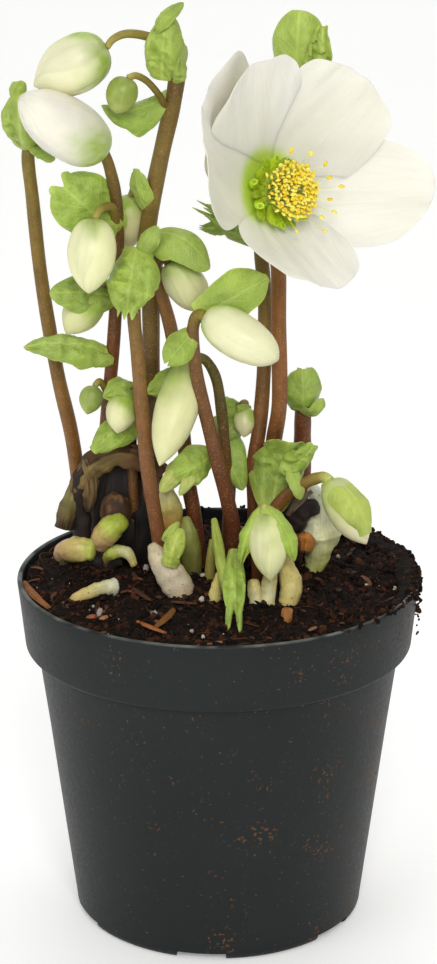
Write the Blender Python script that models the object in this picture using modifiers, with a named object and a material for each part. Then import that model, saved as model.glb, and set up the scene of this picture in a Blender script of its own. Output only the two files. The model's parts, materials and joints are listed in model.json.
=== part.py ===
"""A Christmas rose in a 12 cm nursery pot, at its real size.

Run it with: blender --background --python part.py
The frame has its origin at the middle of the pot's underside, +Z up, +X to the right and +Y to the back.
Places are given in millimetres as (right, back, up) and turned into metres by at().
"""

import math

import bmesh
import bpy
from mathutils import Matrix, Vector, noise

MM = 0.001
CLEARANCE = 0.35 * MM
MERGE = 0.00005

# The pot: a 12 cm nursery pot with a deep rim band
POT_RADIUS = 60 * MM
POT_HEIGHT = 107 * MM
BAND_HEIGHT = 21 * MM
BAND_FOOT_RADIUS = 58 * MM
SHOULDER_RADIUS = 54.4 * MM
BASE_RADIUS = 43.5 * MM
WALL = 1.1 * MM
SHELF_INNER = 0.4 * MM
SHELF_OUTER = 1.3 * MM
LIP = 1.6 * MM
RIM_ROUND = 0.5 * MM
BAND_ROUND = 1.0 * MM
CORNER = 2.5 * MM
CORNER_IN = 0.9 * MM
CORNER_UP = 0.6 * MM
CHANNEL_SLOPE = 0.5 * MM
FOOT_HEIGHT = 2.8 * MM
PAD_RADIUS = 20 * MM
CHANNEL_RADIUS = 37 * MM
NOTCHES = 6
NOTCH_WIDTH = 15 * MM
NOTCH_SKIN = 0.4 * MM
NOTCH_SPARE = 3 * MM
FIRST_NOTCH = math.radians(-97)
DRAIN_HOLES = 6
DRAIN_RADIUS = 3.5 * MM
DRAIN_CIRCLE = 30 * MM
POT_STEPS = 40

# The soil: level 6 mm under the rim, mounded round the crown
SOIL_EDGE = 101.2 * MM
SOIL_MOUND = 5.8 * MM
MOUND_SPREAD = 30 * MM
SOIL_ROUGHNESS = 1.1 * MM
SOIL_GRAIN = 0.16 / MM
SOIL_RINGS = 6
HOLE_REACH = 109 * MM

BLADE_THICKNESS = 0.8 * MM
NECK_RADIUS = 1.0 * MM

STEM_COLOUR = (0.27, 0.14, 0.06)
BUD_COLOUR = (0.85, 0.86, 0.66)
PETAL_COLOUR = (0.88, 0.88, 0.83)
STAMEN_COLOUR = (0.90, 0.75, 0.18)
NECTARY_COLOUR = (0.42, 0.60, 0.05)
CARPEL_COLOUR = (0.62, 0.68, 0.20)
SHOOT_COLOUR = (0.70, 0.66, 0.36)
HUSK_COLOUR = (0.22, 0.12, 0.05)
SOIL_COLOUR = (0.035, 0.020, 0.014)
POT_COLOUR = (0.030, 0.036, 0.040)

# Stalks, from the rooted foot to the neck that carries the flower: (right, back, up) in mm.
# The radii, in mm, are spread evenly from foot to neck. Branches leave it, and bracts, its small leaves.
# A bract is (root, tip, side it faces, width, curl in degrees, arch in mm).
STALKS = {
    "stalk_far_left": {
        "route": [(-41, 23, 94), (-41.5, 21, 116), (-44, 17, 143), (-48, 14, 165), (-52, 12, 194),
                  (-54, 10, 219), (-55, 10.5, 232), (-53, 13, 238)],
        "radii": (2.4, 1.8),
        "bracts": [
            ((-55.3, 10, 229), (-59, 5, 253), (-0.6, -1, 0), 15, 65, 4),
            ((-54, 9.5, 230), (-46.5, 2, 229), (0.2, -0.5, 1), 9, 40, -2),
            ((-42.4, 17, 133), (-50.5, 9.5, 119), (-0.4, -1, 0.5), 12, 70, 3),
        ],
    },
    "stalk_two_buds": {
        "route": [(-35, 26, 94), (-35, 24.5, 118), (-34.5, 19.5, 136), (-33, 13.5, 155), (-31, 10, 176),
                  (-29.5, 7, 199), (-29.5, 4, 217), (-31.5, 1, 227), (-33, -1.5, 231.5)],
        "radii": (2.4, 1.6),
        "branches": [
            ([(-29.8, 4, 212), (-30.5, 0, 218.5), (-33.5, -4, 220), (-35.2, -6.5, 218.2)], 1.5),
            ([(-30.5, 8, 190), (-33, 7, 194.5), (-35, 6, 193)], 1.2),
            ([(-32.5, 12, 158), (-35, 10, 163), (-36.5, 9, 162)], 1.0),
        ],
        "bracts": [
            ((-30, 4.5, 211), (-48, -1, 229), (-0.1, -1, 0.3), 19, 25, 3),
            ((-30.2, 8, 193.5), (-46.5, -1, 200), (-0.1, -0.8, 0.8), 12, 30, 2.5),
            ((-31, 10, 171.5), (-56, 4, 174.5), (0, -0.8, 0.9), 11, 60, 3),
        ],
    },
    "stalk_tall": {
        "route": [(-20, 15, 94), (-20.5, 13.5, 132), (-20, 11, 167), (-20, 9, 189), (-21, 7, 205),
                  (-19, 5, 220), (-16, 2.5, 235), (-13, 1, 248), (-11.5, 0, 257)],
        "radii": (2.7, 2.4),
        "branches": [
            ([(-12, 0.8, 252), (-13.5, 1.5, 260.5), (-17, 1, 266), (-21, 0, 268), (-26, -1.5, 268.7),
              (-29.5, -3, 267.5), (-31.2, -4, 265.5)], 1.6),
            ([(-14.5, 1, 245), (-17, -3, 251.5), (-19.5, -5, 255), (-23, -7.5, 256.5),
              (-25.4, -8.3, 255.3)], 1.0),
            ([(-19, 5, 219), (-21.5, 7.5, 224), (-24, 9.8, 223), (-25.4, 10.6, 219.8)], 1.1),
        ],
        "bracts": [
            ((-12.2, 0.3, 250.5), (-14.5, -6, 277.5), (-0.4, -1, 0.1), 13.5, 75, 3),
            ((-14, 0.5, 246), (-33, -5.5, 250), (0, -0.6, 0.9), 11, 50, -2.5),
            ((-19.5, 5, 216), (-24.5, 2, 231), (-0.5, -1, 0), 8, 30, 1.5),
        ],
    },
    "stalk_centre_left": {
        "route": [(-17, -4, 94), (-17.5, -4.5, 112), (-19.5, -6, 138), (-21, -6.5, 157), (-22, -6, 175),
                  (-23.5, -5, 189), (-22.8, -3.5, 204)],
        "radii": (2.3, 1.9),
        "bracts": [
            ((-22.5, -4, 204), (-26.5, -12.5, 189.5), (-0.1, -1, 0.5), 17, 50, 3.5),
            ((-22.8, -4, 202), (-17.5, -8.5, 215.5), (-0.2, -1, 0), 9, 35, 1.5),
        ],
    },
    "stalk_shaded": {
        "route": [(-5, 8.5, 94), (-7, 7.5, 120), (-9, 8, 133), (-10.5, 8.5, 149), (-12, 8, 167),
                  (-14, 6, 181), (-17, 5, 193), (-18, 3.4, 200),
                  (-17, 1.5, 203), (-15.4, 0.2, 203.8), (-14.4, -0.2, 202.8)],
        "radii": (2.4, 1.6),
        "bracts": [
            ((-17.6, 4, 202), (-4, -5.5, 210.5), (0.1, -0.4, 1), 12, 20, 6),
        ],
    },
    "stalk_fore": {
        "route": [(4.5, 0, 94), (4.5, -1, 118), (3, -3, 129), (0, -5, 142), (-3, -6, 155), (-6, -7, 169),
                  (-7.2, -8, 180), (-6.6, -9.4, 184.8), (-5, -10.4, 186.2), (-3.4, -11.2, 185.8)],
        "radii": (2.4, 1.6),
        "bracts": [
            ((-7.1, -8.2, 183.5), (13.2, -5, 206.5), (0, -1, 0), 13, 15, 0.8),
            ((-7, -8, 182), (-13.5, -12, 172.5), (-0.2, -1, 0.1), 10, 35, 1.5),
        ],
    },
    "stalk_arching": {
        "route": [(5.5, 8, 94), (4.8, 8, 114), (3, 6.8, 127), (1.8, 4.6, 144), (1, 3.3, 155),
                  (-0.5, 2.5, 166), (-3.2, 3.2, 171.5), (-6, 3.2, 173), (-8.1, 2.2, 172)],
        "radii": (2.1, 1.3),
        "bracts": [
            ((3.2, 6, 133), (-10, -3, 139), (0.2, -1, 0), 15, 50, 3),
            ((4, 7, 126), (-12, -5, 130), (0.3, -1, 0.3), 8, 40, 2),
        ],
    },
    "stalk_bloom": {
        "route": [(12.5, 15, 94), (13, 13, 119), (15, 9.5, 133), (16.5, 5, 147), (18, 2, 160),
                  (17.6, 1.6, 182), (17.2, 4, 202), (14, 9.5, 213), (11.5, 9, 219.5), (10.6, 5, 223)],
        "radii": (2.5, 2.1),
        "bracts": [
            ((15.5, 8.5, 210), (-6.5, 8, 219.5), (0, -1, 0.3), 8, 35, 2),
            ((13.5, 10, 212), (-5, 9, 211), (0, -1, 0), 5, 20, 1),
        ],
    },
    "stalk_behind_bloom": {
        "route": [(11.5, 7, 94), (10.8, 7, 125), (10.5, 6.8, 138), (11.3, 7.2, 150), (12.3, 7.5, 162),
                  (13, 7.8, 174), (13, 9.5, 190), (12, 16, 206), (14, 21, 220), (19, 22, 236), (24, 21, 251)],
        "radii": (2.3, 1.8),
        "bracts": [
            ((23.5, 21, 248), (24, 16, 271.5), (-0.2, -1, 0.1), 19.5, 45, 3),
        ],
    },
    "stalk_right_short": {
        "route": [(21, 19, 94), (23, 17.5, 113), (25, 15.5, 133), (25.2, 14.3, 146), (25.3, 13.6, 158)],
        "radii": (3.2, 2.4),
        "bracts": [
            ((25.5, 14.5, 156), (29, 3, 158), (0.1, -0.4, 1), 15.5, 65, 6.5),
            ((25, 14, 152), (19.5, 8, 160.5), (-0.6, -0.8, 0.6), 9, 45, 3),
        ],
    },
    "stalk_right_low": {
        "route": [(15.5, 0, 94), (15, 0, 110), (15.5, -1.5, 124), (19.5, -3.5, 132), (25.5, -5, 137),
                  (30, -6, 139.2), (32.3, -7.2, 139.2), (33.6, -8.2, 138.3)],
        "radii": (2.3, 1.5),
        "bracts": [
            ((15.8, -1.2, 123), (24, -3, 150.5), (0.12, -1, 0.2), 17.5, 30, -2),
            ((28, -5, 138.5), (36.5, -7.5, 143.5), (0.3, 0.2, 1), 6.5, 20, 1),
        ],
    },
    "stalk_front_low": {
        "route": [(12.5, -9, 94), (12, -10, 108), (11.5, -11, 119), (12, -13.5, 127.5), (12.6, -15.8, 132),
                  (13.4, -18, 133.4), (13.9, -19.4, 132.6)],
        "radii": (2.2, 1.3),
        "bracts": [
            ((11.5, -12.5, 125), (4.5, -18.5, 117.5), (-0.8, -1, 0.2), 8, 40, 2.5),
            ((12.2, -11, 123), (25.5, -15, 118), (0.7, -0.4, 1), 7.5, 25, 5),
        ],
    },
    "stalk_back_left": {
        "route": [(-25.5, 13.5, 94), (-25.5, 13.5, 120), (-26.3, 13, 141), (-26.5, 8.5, 153), (-26.7, 5, 159),
                  (-27.3, 2.2, 162), (-28.8, 0.2, 162.6), (-30, -1.2, 161.4)],
        "radii": (1.7, 1.1),
        "bracts": [
            ((-26.6, 5.5, 159.5), (-35, -5.5, 167), (-0.2, -0.4, 1), 8.5, 25, 4),
            ((-26.5, 8, 152.5), (-38.5, -1, 148.5), (0, -0.7, 0.8), 9, 50, 3),
        ],
    },
    "stalk_back_right": {
        "route": [(2, 15, 94), (3, 15, 120), (4.5, 15, 141), (5.5, 14, 151), (5.6, 12.4, 155),
                  (5.4, 10.6, 155.8), (5.2, 9.4, 155)],
        "radii": (1.9, 1.2),
        "bracts": [
            ((4.6, 15.5, 147), (-4.5, 10, 155), (-0.5, -0.7, 0.8), 7.5, 40, 2),
            ((4.2, 15.5, 132), (6.5, 9, 144), (0.1, -1, 0.2), 8, 40, 2),
        ],
    },
    "leaf_front": {
        "route": [(-2.5, -5, 94), (-2.5, -5.5, 110), (-1.5, -6, 119)],
        "radii": (1.8, 1.3),
        "bracts": [
            ((-1.7, -5.5, 118), (5.5, -34.5, 104.6), (0.1, 0.5, 1), 10, 40, 2.5),
        ],
    },
    "shoot_sheath": {
        "route": [(-12, -11.3, 98), (-13, -11, 105), (-15.5, -10.9, 110), (-18, -10.7, 115), (-20, -11, 119)],
        "radii": (3.0, 3.9, 3.8, 2.9, 1.2),
        "bracts": [
            ((-13.5, -12, 110), (-13, -12.5, 125.5), (-0.6, -1, 0), 8, 80, 2.5),
        ],
    },
}

# Buds: the stalk, the branch (none is the stalk's own neck), the tip and the width, in mm
BUDS = {
    "bud_far_left": ("stalk_far_left", None, (-48, 17, 246), 8),
    "bud_upper_white": ("stalk_tall", 0, (-52, -4.5, 254.5), 16.5),
    "bud_small_green": ("stalk_tall", 1, (-28.3, -10, 245.5), 7.5),
    "bud_behind_tall": ("stalk_tall", 2, (-26, 12.5, 203), 7.5),
    "bud_lower_white": ("stalk_two_buds", None, (-56.5, -15, 251.5), 17),
    "bud_yellow": ("stalk_two_buds", 0, (-37, -12, 194), 13.5),
    "bud_low_left": ("stalk_two_buds", 1, (-44.5, 3, 180), 11),
    "bud_tiny": ("stalk_two_buds", 2, (-40.5, 6, 156), 6),
    "bud_shaded": ("stalk_shaded", None, (-3.8, -0.5, 187.5), 11),
    "bud_fore": ("stalk_fore", None, (17.5, -19, 176.5), 13.5),
    "bud_long": ("stalk_arching", None, (-17.1, -15.3, 143), 11.6),
    "bud_right": ("stalk_right_low", None, (44, -17, 120), 12),
    "bud_front": ("stalk_front_low", None, (15.2, -27.5, 114.5), 10.8),
    "bud_back_left": ("stalk_back_left", None, (-34.5, -6, 154.5), 6),
    "bud_back_right": ("stalk_back_right", None, (4.6, 5.5, 147.5), 5.6),
}

# Young shoots and old leaf bases at soil level: route in mm, then radii in mm spread evenly along it
SHOOTS = {
    "old_leaf_base": ([(-41, 8, 97), (-41, 8.5, 112), (-40.5, 9, 126), (-39, 8.5, 136.5), (-35, 8, 142.5),
                       (-29.4, 7.3, 144.3), (-24, 8.6, 141.3)], (2.5, 2.6, 2.7, 3.0, 3.2, 3.2, 2.0)),
    "old_crown_knob": ([(-32, 16.5, 97), (-32, 16.5, 112), (-32, 16.5, 122), (-33, 16, 130)],
                       (2.5, 3.2, 3.8, 2.4)),
    "old_husk_right": ([(20, 7, 98), (20.5, 7, 112), (25, 4, 120.5), (29, 3, 124)], (1.8, 2.2, 2.6, 1.2)),
    "old_stub_right": ([(24, 1, 98), (24.5, 1.5, 108), (26.5, 1, 113), (30, 0.3, 114.5)],
                       (2.6, 2.8, 2.8, 2.5)),
    "old_stub_front": ([(19.5, -35.5, 97), (19.8, -34.5, 104.5)], (1.8, 1.8)),
    "shoot_left_lying": ([(-48, 14, 97), (-48.5, 14, 102), (-45.5, 14, 105.3), (-40.5, 14, 105)],
                         (2.4, 3.2, 3.4, 2.8)),
    "shoot_left_back": ([(-35.5, 3, 97), (-36, 3, 104.5), (-33.5, 3, 110), (-28, 3, 112.5)],
                        (2.2, 3.0, 3.2, 2.2)),
    "shoot_left_curled": ([(-33, 10.5, 97), (-33.5, 10, 103.5), (-30, 9.5, 107), (-26.5, 8.5, 105.5)],
                          (1.6, 2.0, 2.0, 1.2)),
    "shoot_front_lying": ([(-43.5, -16, 98), (-42, -15.5, 103), (-39, -13.5, 105), (-35, -10.5, 106.5),
                           (-31, -8.5, 106)], (1.3, 1.7, 2.0, 2.2, 2.6)),
    "shoot_pale_bulb": ([(-13, 2.5, 98), (-13.5, 2.5, 112), (-14, 3, 123), (-14, 3, 128),
                         (-15.5, 3.5, 134)],
                        (2.4, 2.6, 3.3, 3.4, 1.6)),
    "shoot_translucent": ([(-8, 0.5, 98), (-8, 0.5, 110), (-8.8, 1, 118), (-9.8, 2, 123)],
                          (1.8, 2.5, 2.3, 1.2)),
    "shoot_small_pale": ([(-3.5, -19.5, 97), (-3.5, -19, 105), (-4.2, -17.5, 112)], (1.6, 2.0, 1.0)),
    "shoot_forked_right": ([(14, -21.5, 97), (14.3, -21, 103), (15, -18.5, 109), (15.5, -16.5, 112)],
                           (1.8, 2.2, 2.0, 1.3)),
    "shoot_forked_left": ([(9.4, -21, 97), (9.6, -20.5, 103), (9.8, -18.5, 108)], (1.6, 2.0, 1.0)),
    "shoot_pale_right": ([(21.5, -19.5, 97), (22.5, -18.5, 104), (22.5, -16, 108.5), (21, -13.5, 112),
                          (19.5, -11.5, 116)], (2.0, 3.0, 3.2, 2.6, 1.6)),
    "shoot_white_knob": ([(28, 10, 98), (29, 9.5, 105), (31, 9, 110), (33.5, 9, 116.5), (31.5, 8.5, 122),
                          (32.5, 7.5, 128), (30, 6.5, 133)], (2.4, 2.8, 2.6, 3.6, 2.4, 2.6, 1.6)),
}

# The open bloom: where its five petal-like sepals meet, and the way it looks
BLOOM_BASE = (13.0, 1.2, 224.0)
BLOOM_LOOK = (0.59, -0.765, 0.258)
# Each sepal: angle round the bloom, length, rise of its tip above the bloom's plane, width, sideways sway of
# the tip and the layer it lies in, in mm and degrees, and how broad its end is
SEPALS = [
    (-3, 51, 26, 38, 0, -1, 0.55),
    (50, 45, 28, 41, 0, 0, 0.70),
    (109, 44, 31, 38, 0, 1, 0.60),
    (166, 47, 29, 53, 0, 2, 0.66),
    (268, 42, 40, 36, 4, -2, 0.40),
]
LAYER = 0.9
# The discs that the bloom's parts are fixed in, as (radius, height) in mm along the way it looks
SEAT = [(0, 0.9), (3.2, 0.9), (3.8, 0.1), (2.6, -2.0), (0, -2.0)]
RING = [(0, 4.4), (4.6, 4.4), (4.8, 3.3), (2.4, 2.6), (1.9, 1.5), (0, 1.5)]
COLLAR = [(1.4, 5.9), (3.6, 5.9), (3.8, 4.8), (1.4, 4.8), (1.4, 5.9)]
HEART = [(0, 7.2), (1.0, 7.2), (1.0, 4.8), (0, 4.8)]
# A nectary and a style: (distance from the middle, height) from foot to mouth, then the radii there, in mm
NECTARIES = 12
CUP = ([(3.8, 3.9), (7.4, 5.2), (9.6, 8.2)], (0.6, 1.3, 1.5))
CARPELS = 5
STYLE = ([(0.3, 6.6), (0.9, 10), (1.5, 14.5)], (0.55, 0.5, 0.35))
# Stamens open from upright in the middle to leaning at the edge; loose ones are (angle, reach in mm)
STAMENS = 24
STAMENS_LEFT_OUT = 5
GOLDEN_ANGLE = math.radians(137.5)
FOOT_SPREAD = (1.9, 1.3)
FOOT_LEVEL = 5.3
HEAD_REACH = 7.0
HEAD_LEVEL = (14.6, 4.2)
LOOSE_FOOT = 2.9
LOOSE_LEVEL = 12.5
LOOSE_STAMENS = [(24, 15), (-6, 16.5), (-36, 15.5), (54, 14), (-66, 14), (144, 11.5), (234, 12)]
FILAMENT_RADIUS = 0.4
ANTHER_RADII = (0.95, 0.7)
ANTHER_SHARE = 0.16
ANTHER_NECK = 0.04


def at(point):
    """A place given in millimetres, as a vector in metres."""
    return Vector(point) * MM


def material(name, colour, roughness):
    made = bpy.data.materials.new(name)
    made.use_nodes = True
    shader = made.node_tree.nodes["Principled BSDF"]
    shader.inputs["Base Color"].default_value = (*colour, 1)
    shader.inputs["Roughness"].default_value = roughness
    shader.inputs["Metallic"].default_value = 0.0
    return made


def object_of(mesh, name, collection, finish=None):
    made = bpy.data.objects.new(name, mesh)
    collection.objects.link(made)
    if finish:
        made.data.materials.append(finish)
    return made


def smooth(obj):
    """Shades a piece smooth, with its edges over 40 degrees kept sharp."""
    obj.data.shade_smooth()
    obj.data.set_sharp_from_angle(angle=math.radians(40))


def baked(obj):
    """Replaces an object by the mesh that its curve or modifiers make, with loose caps welded."""
    graph = bpy.context.evaluated_depsgraph_get()
    mesh = bpy.data.meshes.new_from_object(obj.evaluated_get(graph))
    shape = bmesh.new()
    shape.from_mesh(mesh)
    bmesh.ops.remove_doubles(shape, verts=shape.verts, dist=MERGE)
    shape.to_mesh(mesh)
    shape.free()
    name, collection = obj.name, obj.users_collection[0]
    place = obj.matrix_world.copy()
    bpy.data.objects.remove(obj)
    made = object_of(mesh, name, collection)
    made.matrix_world = place
    return made


def flowing(points):
    """The points with one more between each two, on a smooth curve through them all."""
    ends = [points[0] * 2 - points[1], *points, points[-1] * 2 - points[-2]]
    line = []
    for i in range(1, len(ends) - 2):
        before, start, end, after = ends[i - 1 : i + 3]
        line += [start, (9 * (start + end) - before - after) / 16]
    return [*line, points[-1]]


def tube(name, line, radii, collection, rounding):
    """A round stem along a line; the radii are spread evenly over it."""
    curve = bpy.data.curves.new(name, "CURVE")
    curve.dimensions = "3D"
    curve.fill_mode = "FULL"
    curve.use_fill_caps = True
    curve.bevel_depth = 1.0
    curve.bevel_resolution = rounding
    spline = curve.splines.new("POLY")
    spline.points.add(len(line) - 1)
    for i, (point, place) in enumerate(zip(spline.points, line)):
        along = i / (len(line) - 1) * (len(radii) - 1)
        low = min(int(along), len(radii) - 2)
        point.co = (*place, 1)
        point.radius = radii[low] + (radii[low + 1] - radii[low]) * (along - low)
    return baked(object_of(curve, name, collection))


def blade_grid(name, columns, rows, place, collection):
    """A thin leaf or petal: an open grid, each point set by place(t along, s across), made a wall."""
    shape = bmesh.new()
    bmesh.ops.create_grid(shape, x_segments=columns, y_segments=rows, size=1)
    for vertex in shape.verts:
        vertex.co = place((vertex.co.y + 1) / 2, vertex.co.x)
    bmesh.ops.remove_doubles(shape, verts=shape.verts, dist=MERGE)
    bmesh.ops.triangulate(shape, faces=shape.faces)
    mesh = bpy.data.meshes.new(name)
    shape.to_mesh(mesh)
    shape.free()
    blade = object_of(mesh, name, collection)
    wall = blade.modifiers.new("thickness", "SOLIDIFY")
    wall.thickness = BLADE_THICKNESS
    wall.offset = 0
    return baked(blade)


def bract(name, root, tip, facing, width, curl, arch, collection):
    """A small leaf. Across, it is an arc of the curl's angle; along, it bows by the arch; its edge waves."""
    root, tip = at(root), at(tip)
    along = tip - root
    side = along.cross(Vector(facing)).normalized()
    out = side.cross(along).normalized()
    half_angle = math.radians(curl)
    wave_height = 0.07 * width * MM

    def place(t, s):
        half = 0.5 * width * MM * (0.10 + 0.90 * math.sin(math.pi * min(1, 0.06 + 0.94 * t)) ** 0.62)
        if t > 0.999:
            half = 0
        across = half * math.sin(half_angle * s) / half_angle
        fold = half * (1 - math.cos(half_angle * s)) / half_angle
        bow = arch * MM * 4 * t * (1 - t)
        wave = wave_height * s * abs(s) * math.sin(9 * t + 2 * s) * math.sin(math.pi * t)
        return root + along * t + side * across + out * (bow - fold + wave)

    return blade_grid(name, 4, 4, place, collection)


def bud(name, neck, tip, width, collection, finish):
    """A closed bud: an egg drawn to a point, its overlapping sepals raised as three spiral steps."""
    axis = tip - neck
    length = axis.length
    columns = 12 if width > 9 * MM else 9
    shape = bmesh.new()
    bmesh.ops.create_uvsphere(shape, u_segments=columns, v_segments=7, radius=1)
    turn = axis.to_track_quat("Z", "Y").to_matrix()
    for vertex in shape.verts:
        t = 1 - math.acos(max(-1, min(1, vertex.co.z))) / math.pi
        around = math.atan2(vertex.co.y, vertex.co.x) / math.tau
        step = (around * 3 + 0.5 * t) % 1.0
        egg = math.sin(math.pi * t ** 0.85) ** 0.85
        radius = width / 2 * egg * (0.93 + 0.10 * step)
        up = length * ((1 - t) * (1 - math.cos(math.pi * t)) / 2 + t * t)
        flat = Vector((vertex.co.x, vertex.co.y, 0))
        ring = flat.normalized() * radius if flat.length > 1e-6 else flat
        vertex.co = neck + turn @ Vector((ring.x, ring.y, up))
    bmesh.ops.triangulate(shape, faces=shape.faces)
    mesh = bpy.data.meshes.new(name)
    shape.to_mesh(mesh)
    shape.free()
    made = object_of(mesh, name, collection, finish)
    smooth(made)
    return made


def fused(base, others, name, finish):
    """Joins the others into the base with one Boolean union, and names the result."""
    if others:
        group = bpy.data.collections.new("join")
        for other in others:
            group.objects.link(other)
        join = base.modifiers.new("join", "BOOLEAN")
        join.operation = "UNION"
        join.operand_type = "COLLECTION"
        join.collection = group
        join.solver = "MANIFOLD"
        base = baked(base)
        for other in others:
            bpy.data.objects.remove(other)
        bpy.data.collections.remove(group)
    base.name = name
    base.data.materials.append(finish)
    smooth(base)
    return base


def turned(name, profile, steps, collection):
    """Spins a profile, given as (radius, height) from axis to axis, round the Z axis."""
    mesh = bpy.data.meshes.new(name)
    mesh.from_pydata([(r, 0, z) for r, z in profile], [(i, i + 1) for i in range(len(profile) - 1)], [])
    spun = object_of(mesh, name, collection)
    screw = spun.modifiers.new("spin", "SCREW")
    screw.angle = math.tau
    screw.steps = screw.render_steps = steps
    screw.use_merge_vertices = True
    screw.merge_threshold = MERGE
    return baked(spun)


def cut(target, cutters):
    """Takes every cutter away from the target."""
    group = bpy.data.collections.new("cut")
    for cutter in cutters:
        group.objects.link(cutter)
    modifier = target.modifiers.new("cut", "BOOLEAN")
    modifier.operation = "DIFFERENCE"
    modifier.operand_type = "COLLECTION"
    modifier.collection = group
    modifier.solver = "EXACT"
    target = baked(target)
    for cutter in cutters:
        bpy.data.objects.remove(cutter)
    bpy.data.collections.remove(group)
    return target


def wall_radius(height):
    """The pot's outer radius at a height: a tapered wall under a band that tapers less."""
    shoulder = POT_HEIGHT - BAND_HEIGHT
    if height >= shoulder:
        share = (POT_HEIGHT - height) / BAND_HEIGHT
        return POT_RADIUS + (BAND_FOOT_RADIUS - POT_RADIUS) * share
    return BASE_RADIUS + (SHOULDER_RADIUS - BASE_RADIUS) * height / shoulder


def build_pot(collection):
    """The nursery pot: tapered wall, rim band, and a base with a pad, a drain channel and notched feet."""
    shoulder = POT_HEIGHT - BAND_HEIGHT
    channel_top = FOOT_HEIGHT + WALL
    inner_foot = wall_radius(channel_top) - WALL
    profile = [
        (0, WALL),
        (PAD_RADIUS - WALL, WALL),
        (PAD_RADIUS, channel_top),
        (inner_foot, channel_top),
        (SHOULDER_RADIUS - WALL, shoulder + SHELF_INNER),
        (BAND_FOOT_RADIUS - WALL, shoulder + SHELF_OUTER),
        (POT_RADIUS - LIP, POT_HEIGHT - LIP),
        (POT_RADIUS - LIP + RIM_ROUND, POT_HEIGHT),
        (POT_RADIUS - RIM_ROUND, POT_HEIGHT),
        (POT_RADIUS, POT_HEIGHT - RIM_ROUND),
        (BAND_FOOT_RADIUS, shoulder + BAND_ROUND),
        (BAND_FOOT_RADIUS - BAND_ROUND, shoulder),
        (SHOULDER_RADIUS, shoulder - RIM_ROUND),
        (wall_radius(CORNER), CORNER),
        (BASE_RADIUS - CORNER_IN, CORNER_UP),
        (BASE_RADIUS - CORNER, 0),
        (CHANNEL_RADIUS, 0),
        (CHANNEL_RADIUS - CHANNEL_SLOPE, FOOT_HEIGHT),
        (PAD_RADIUS + 2 * CHANNEL_SLOPE, FOOT_HEIGHT),
        (PAD_RADIUS + CHANNEL_SLOPE, 0),
        (0, 0),
    ]
    pot = turned("pot", profile, POT_STEPS, collection)
    cutters = []
    notch_top = FOOT_HEIGHT - NOTCH_SKIN
    middle = (CHANNEL_RADIUS + BASE_RADIUS) / 2
    length = BASE_RADIUS - CHANNEL_RADIUS + 2 * NOTCH_SPARE
    for i in range(NOTCHES):
        angle = FIRST_NOTCH + math.tau * i / NOTCHES
        bpy.ops.mesh.primitive_cube_add(size=1)
        notch = bpy.context.object
        notch.matrix_world = (
            Matrix.Rotation(angle, 4, "Z")
            @ Matrix.Translation((middle, 0, (notch_top - NOTCH_SPARE) / 2))
            @ Matrix.Diagonal((length, NOTCH_WIDTH, notch_top + NOTCH_SPARE, 1))
        )
        cutters.append(notch)
    for i in range(DRAIN_HOLES):
        angle = FIRST_NOTCH + math.tau * (i + 0.5) / DRAIN_HOLES
        bpy.ops.mesh.primitive_cylinder_add(vertices=12, radius=DRAIN_RADIUS, depth=3 * FOOT_HEIGHT)
        hole = bpy.context.object
        hole.location = (DRAIN_CIRCLE * math.cos(angle), DRAIN_CIRCLE * math.sin(angle), channel_top)
        cutters.append(hole)
    bpy.context.view_layer.update()
    pot = cut(pot, cutters)
    pot.data.materials.append(material("pot_plastic", POT_COLOUR, 0.45))
    smooth(pot)
    return pot


def soil_height(x, y):
    """The soil's surface: level at the wall, a soft mound round the crown, and lumps from seeded noise."""
    reach = math.hypot(x, y)
    mound = SOIL_MOUND * math.exp(-((reach / MOUND_SPREAD) ** 2))
    lumps = noise.noise(Vector((x * SOIL_GRAIN, y * SOIL_GRAIN, 0.5)))
    return SOIL_EDGE + mound + SOIL_ROUGHNESS * lumps


def build_soil(collection, cutters):
    """The compost, filling the pot, with a plain hole for each stalk and shoot."""
    shoulder = POT_HEIGHT - BAND_HEIGHT
    floor = FOOT_HEIGHT + WALL + CLEARANCE
    gap = WALL + 1.3 * CLEARANCE
    edge = wall_radius(SOIL_EDGE) - LIP - CLEARANCE
    profile = [(edge * i / SOIL_RINGS, SOIL_EDGE) for i in range(SOIL_RINGS + 1)]
    profile += [
        (BAND_FOOT_RADIUS - gap, shoulder + SHELF_OUTER + CLEARANCE),
        (SHOULDER_RADIUS - gap, shoulder + SHELF_INNER + CLEARANCE),
        (wall_radius(floor) - gap, floor),
        (0, floor),
    ]
    soil = turned("soil", profile, POT_STEPS, collection)
    for vertex in soil.data.vertices:
        if vertex.co.z > SOIL_EDGE - 0.01 * MM:
            vertex.co.z = soil_height(vertex.co.x, vertex.co.y)
    soil = cut(soil, cutters)
    soil.data.materials.append(material("compost", SOIL_COLOUR, 0.95))
    return soil


def hole_for(name, line, radii, collection):
    """The cutter for a plain hole in the soil: the stem's foot, a little wider and deeper."""
    top = next(i for i, point in enumerate(line) if point.z > HOLE_REACH)
    share = top / (len(line) - 1) * (len(radii) - 1)
    low = min(int(share), len(radii) - 2)
    end = radii[low] + (radii[low + 1] - radii[low]) * (share - low)
    deeper = line[0] + (line[0] - line[1]).normalized() * CLEARANCE
    wider = [r + CLEARANCE for r in [*radii[: low + 1], end]]
    return tube(name, [deeper, *line[: top + 1]], wider, collection, 2)


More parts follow.
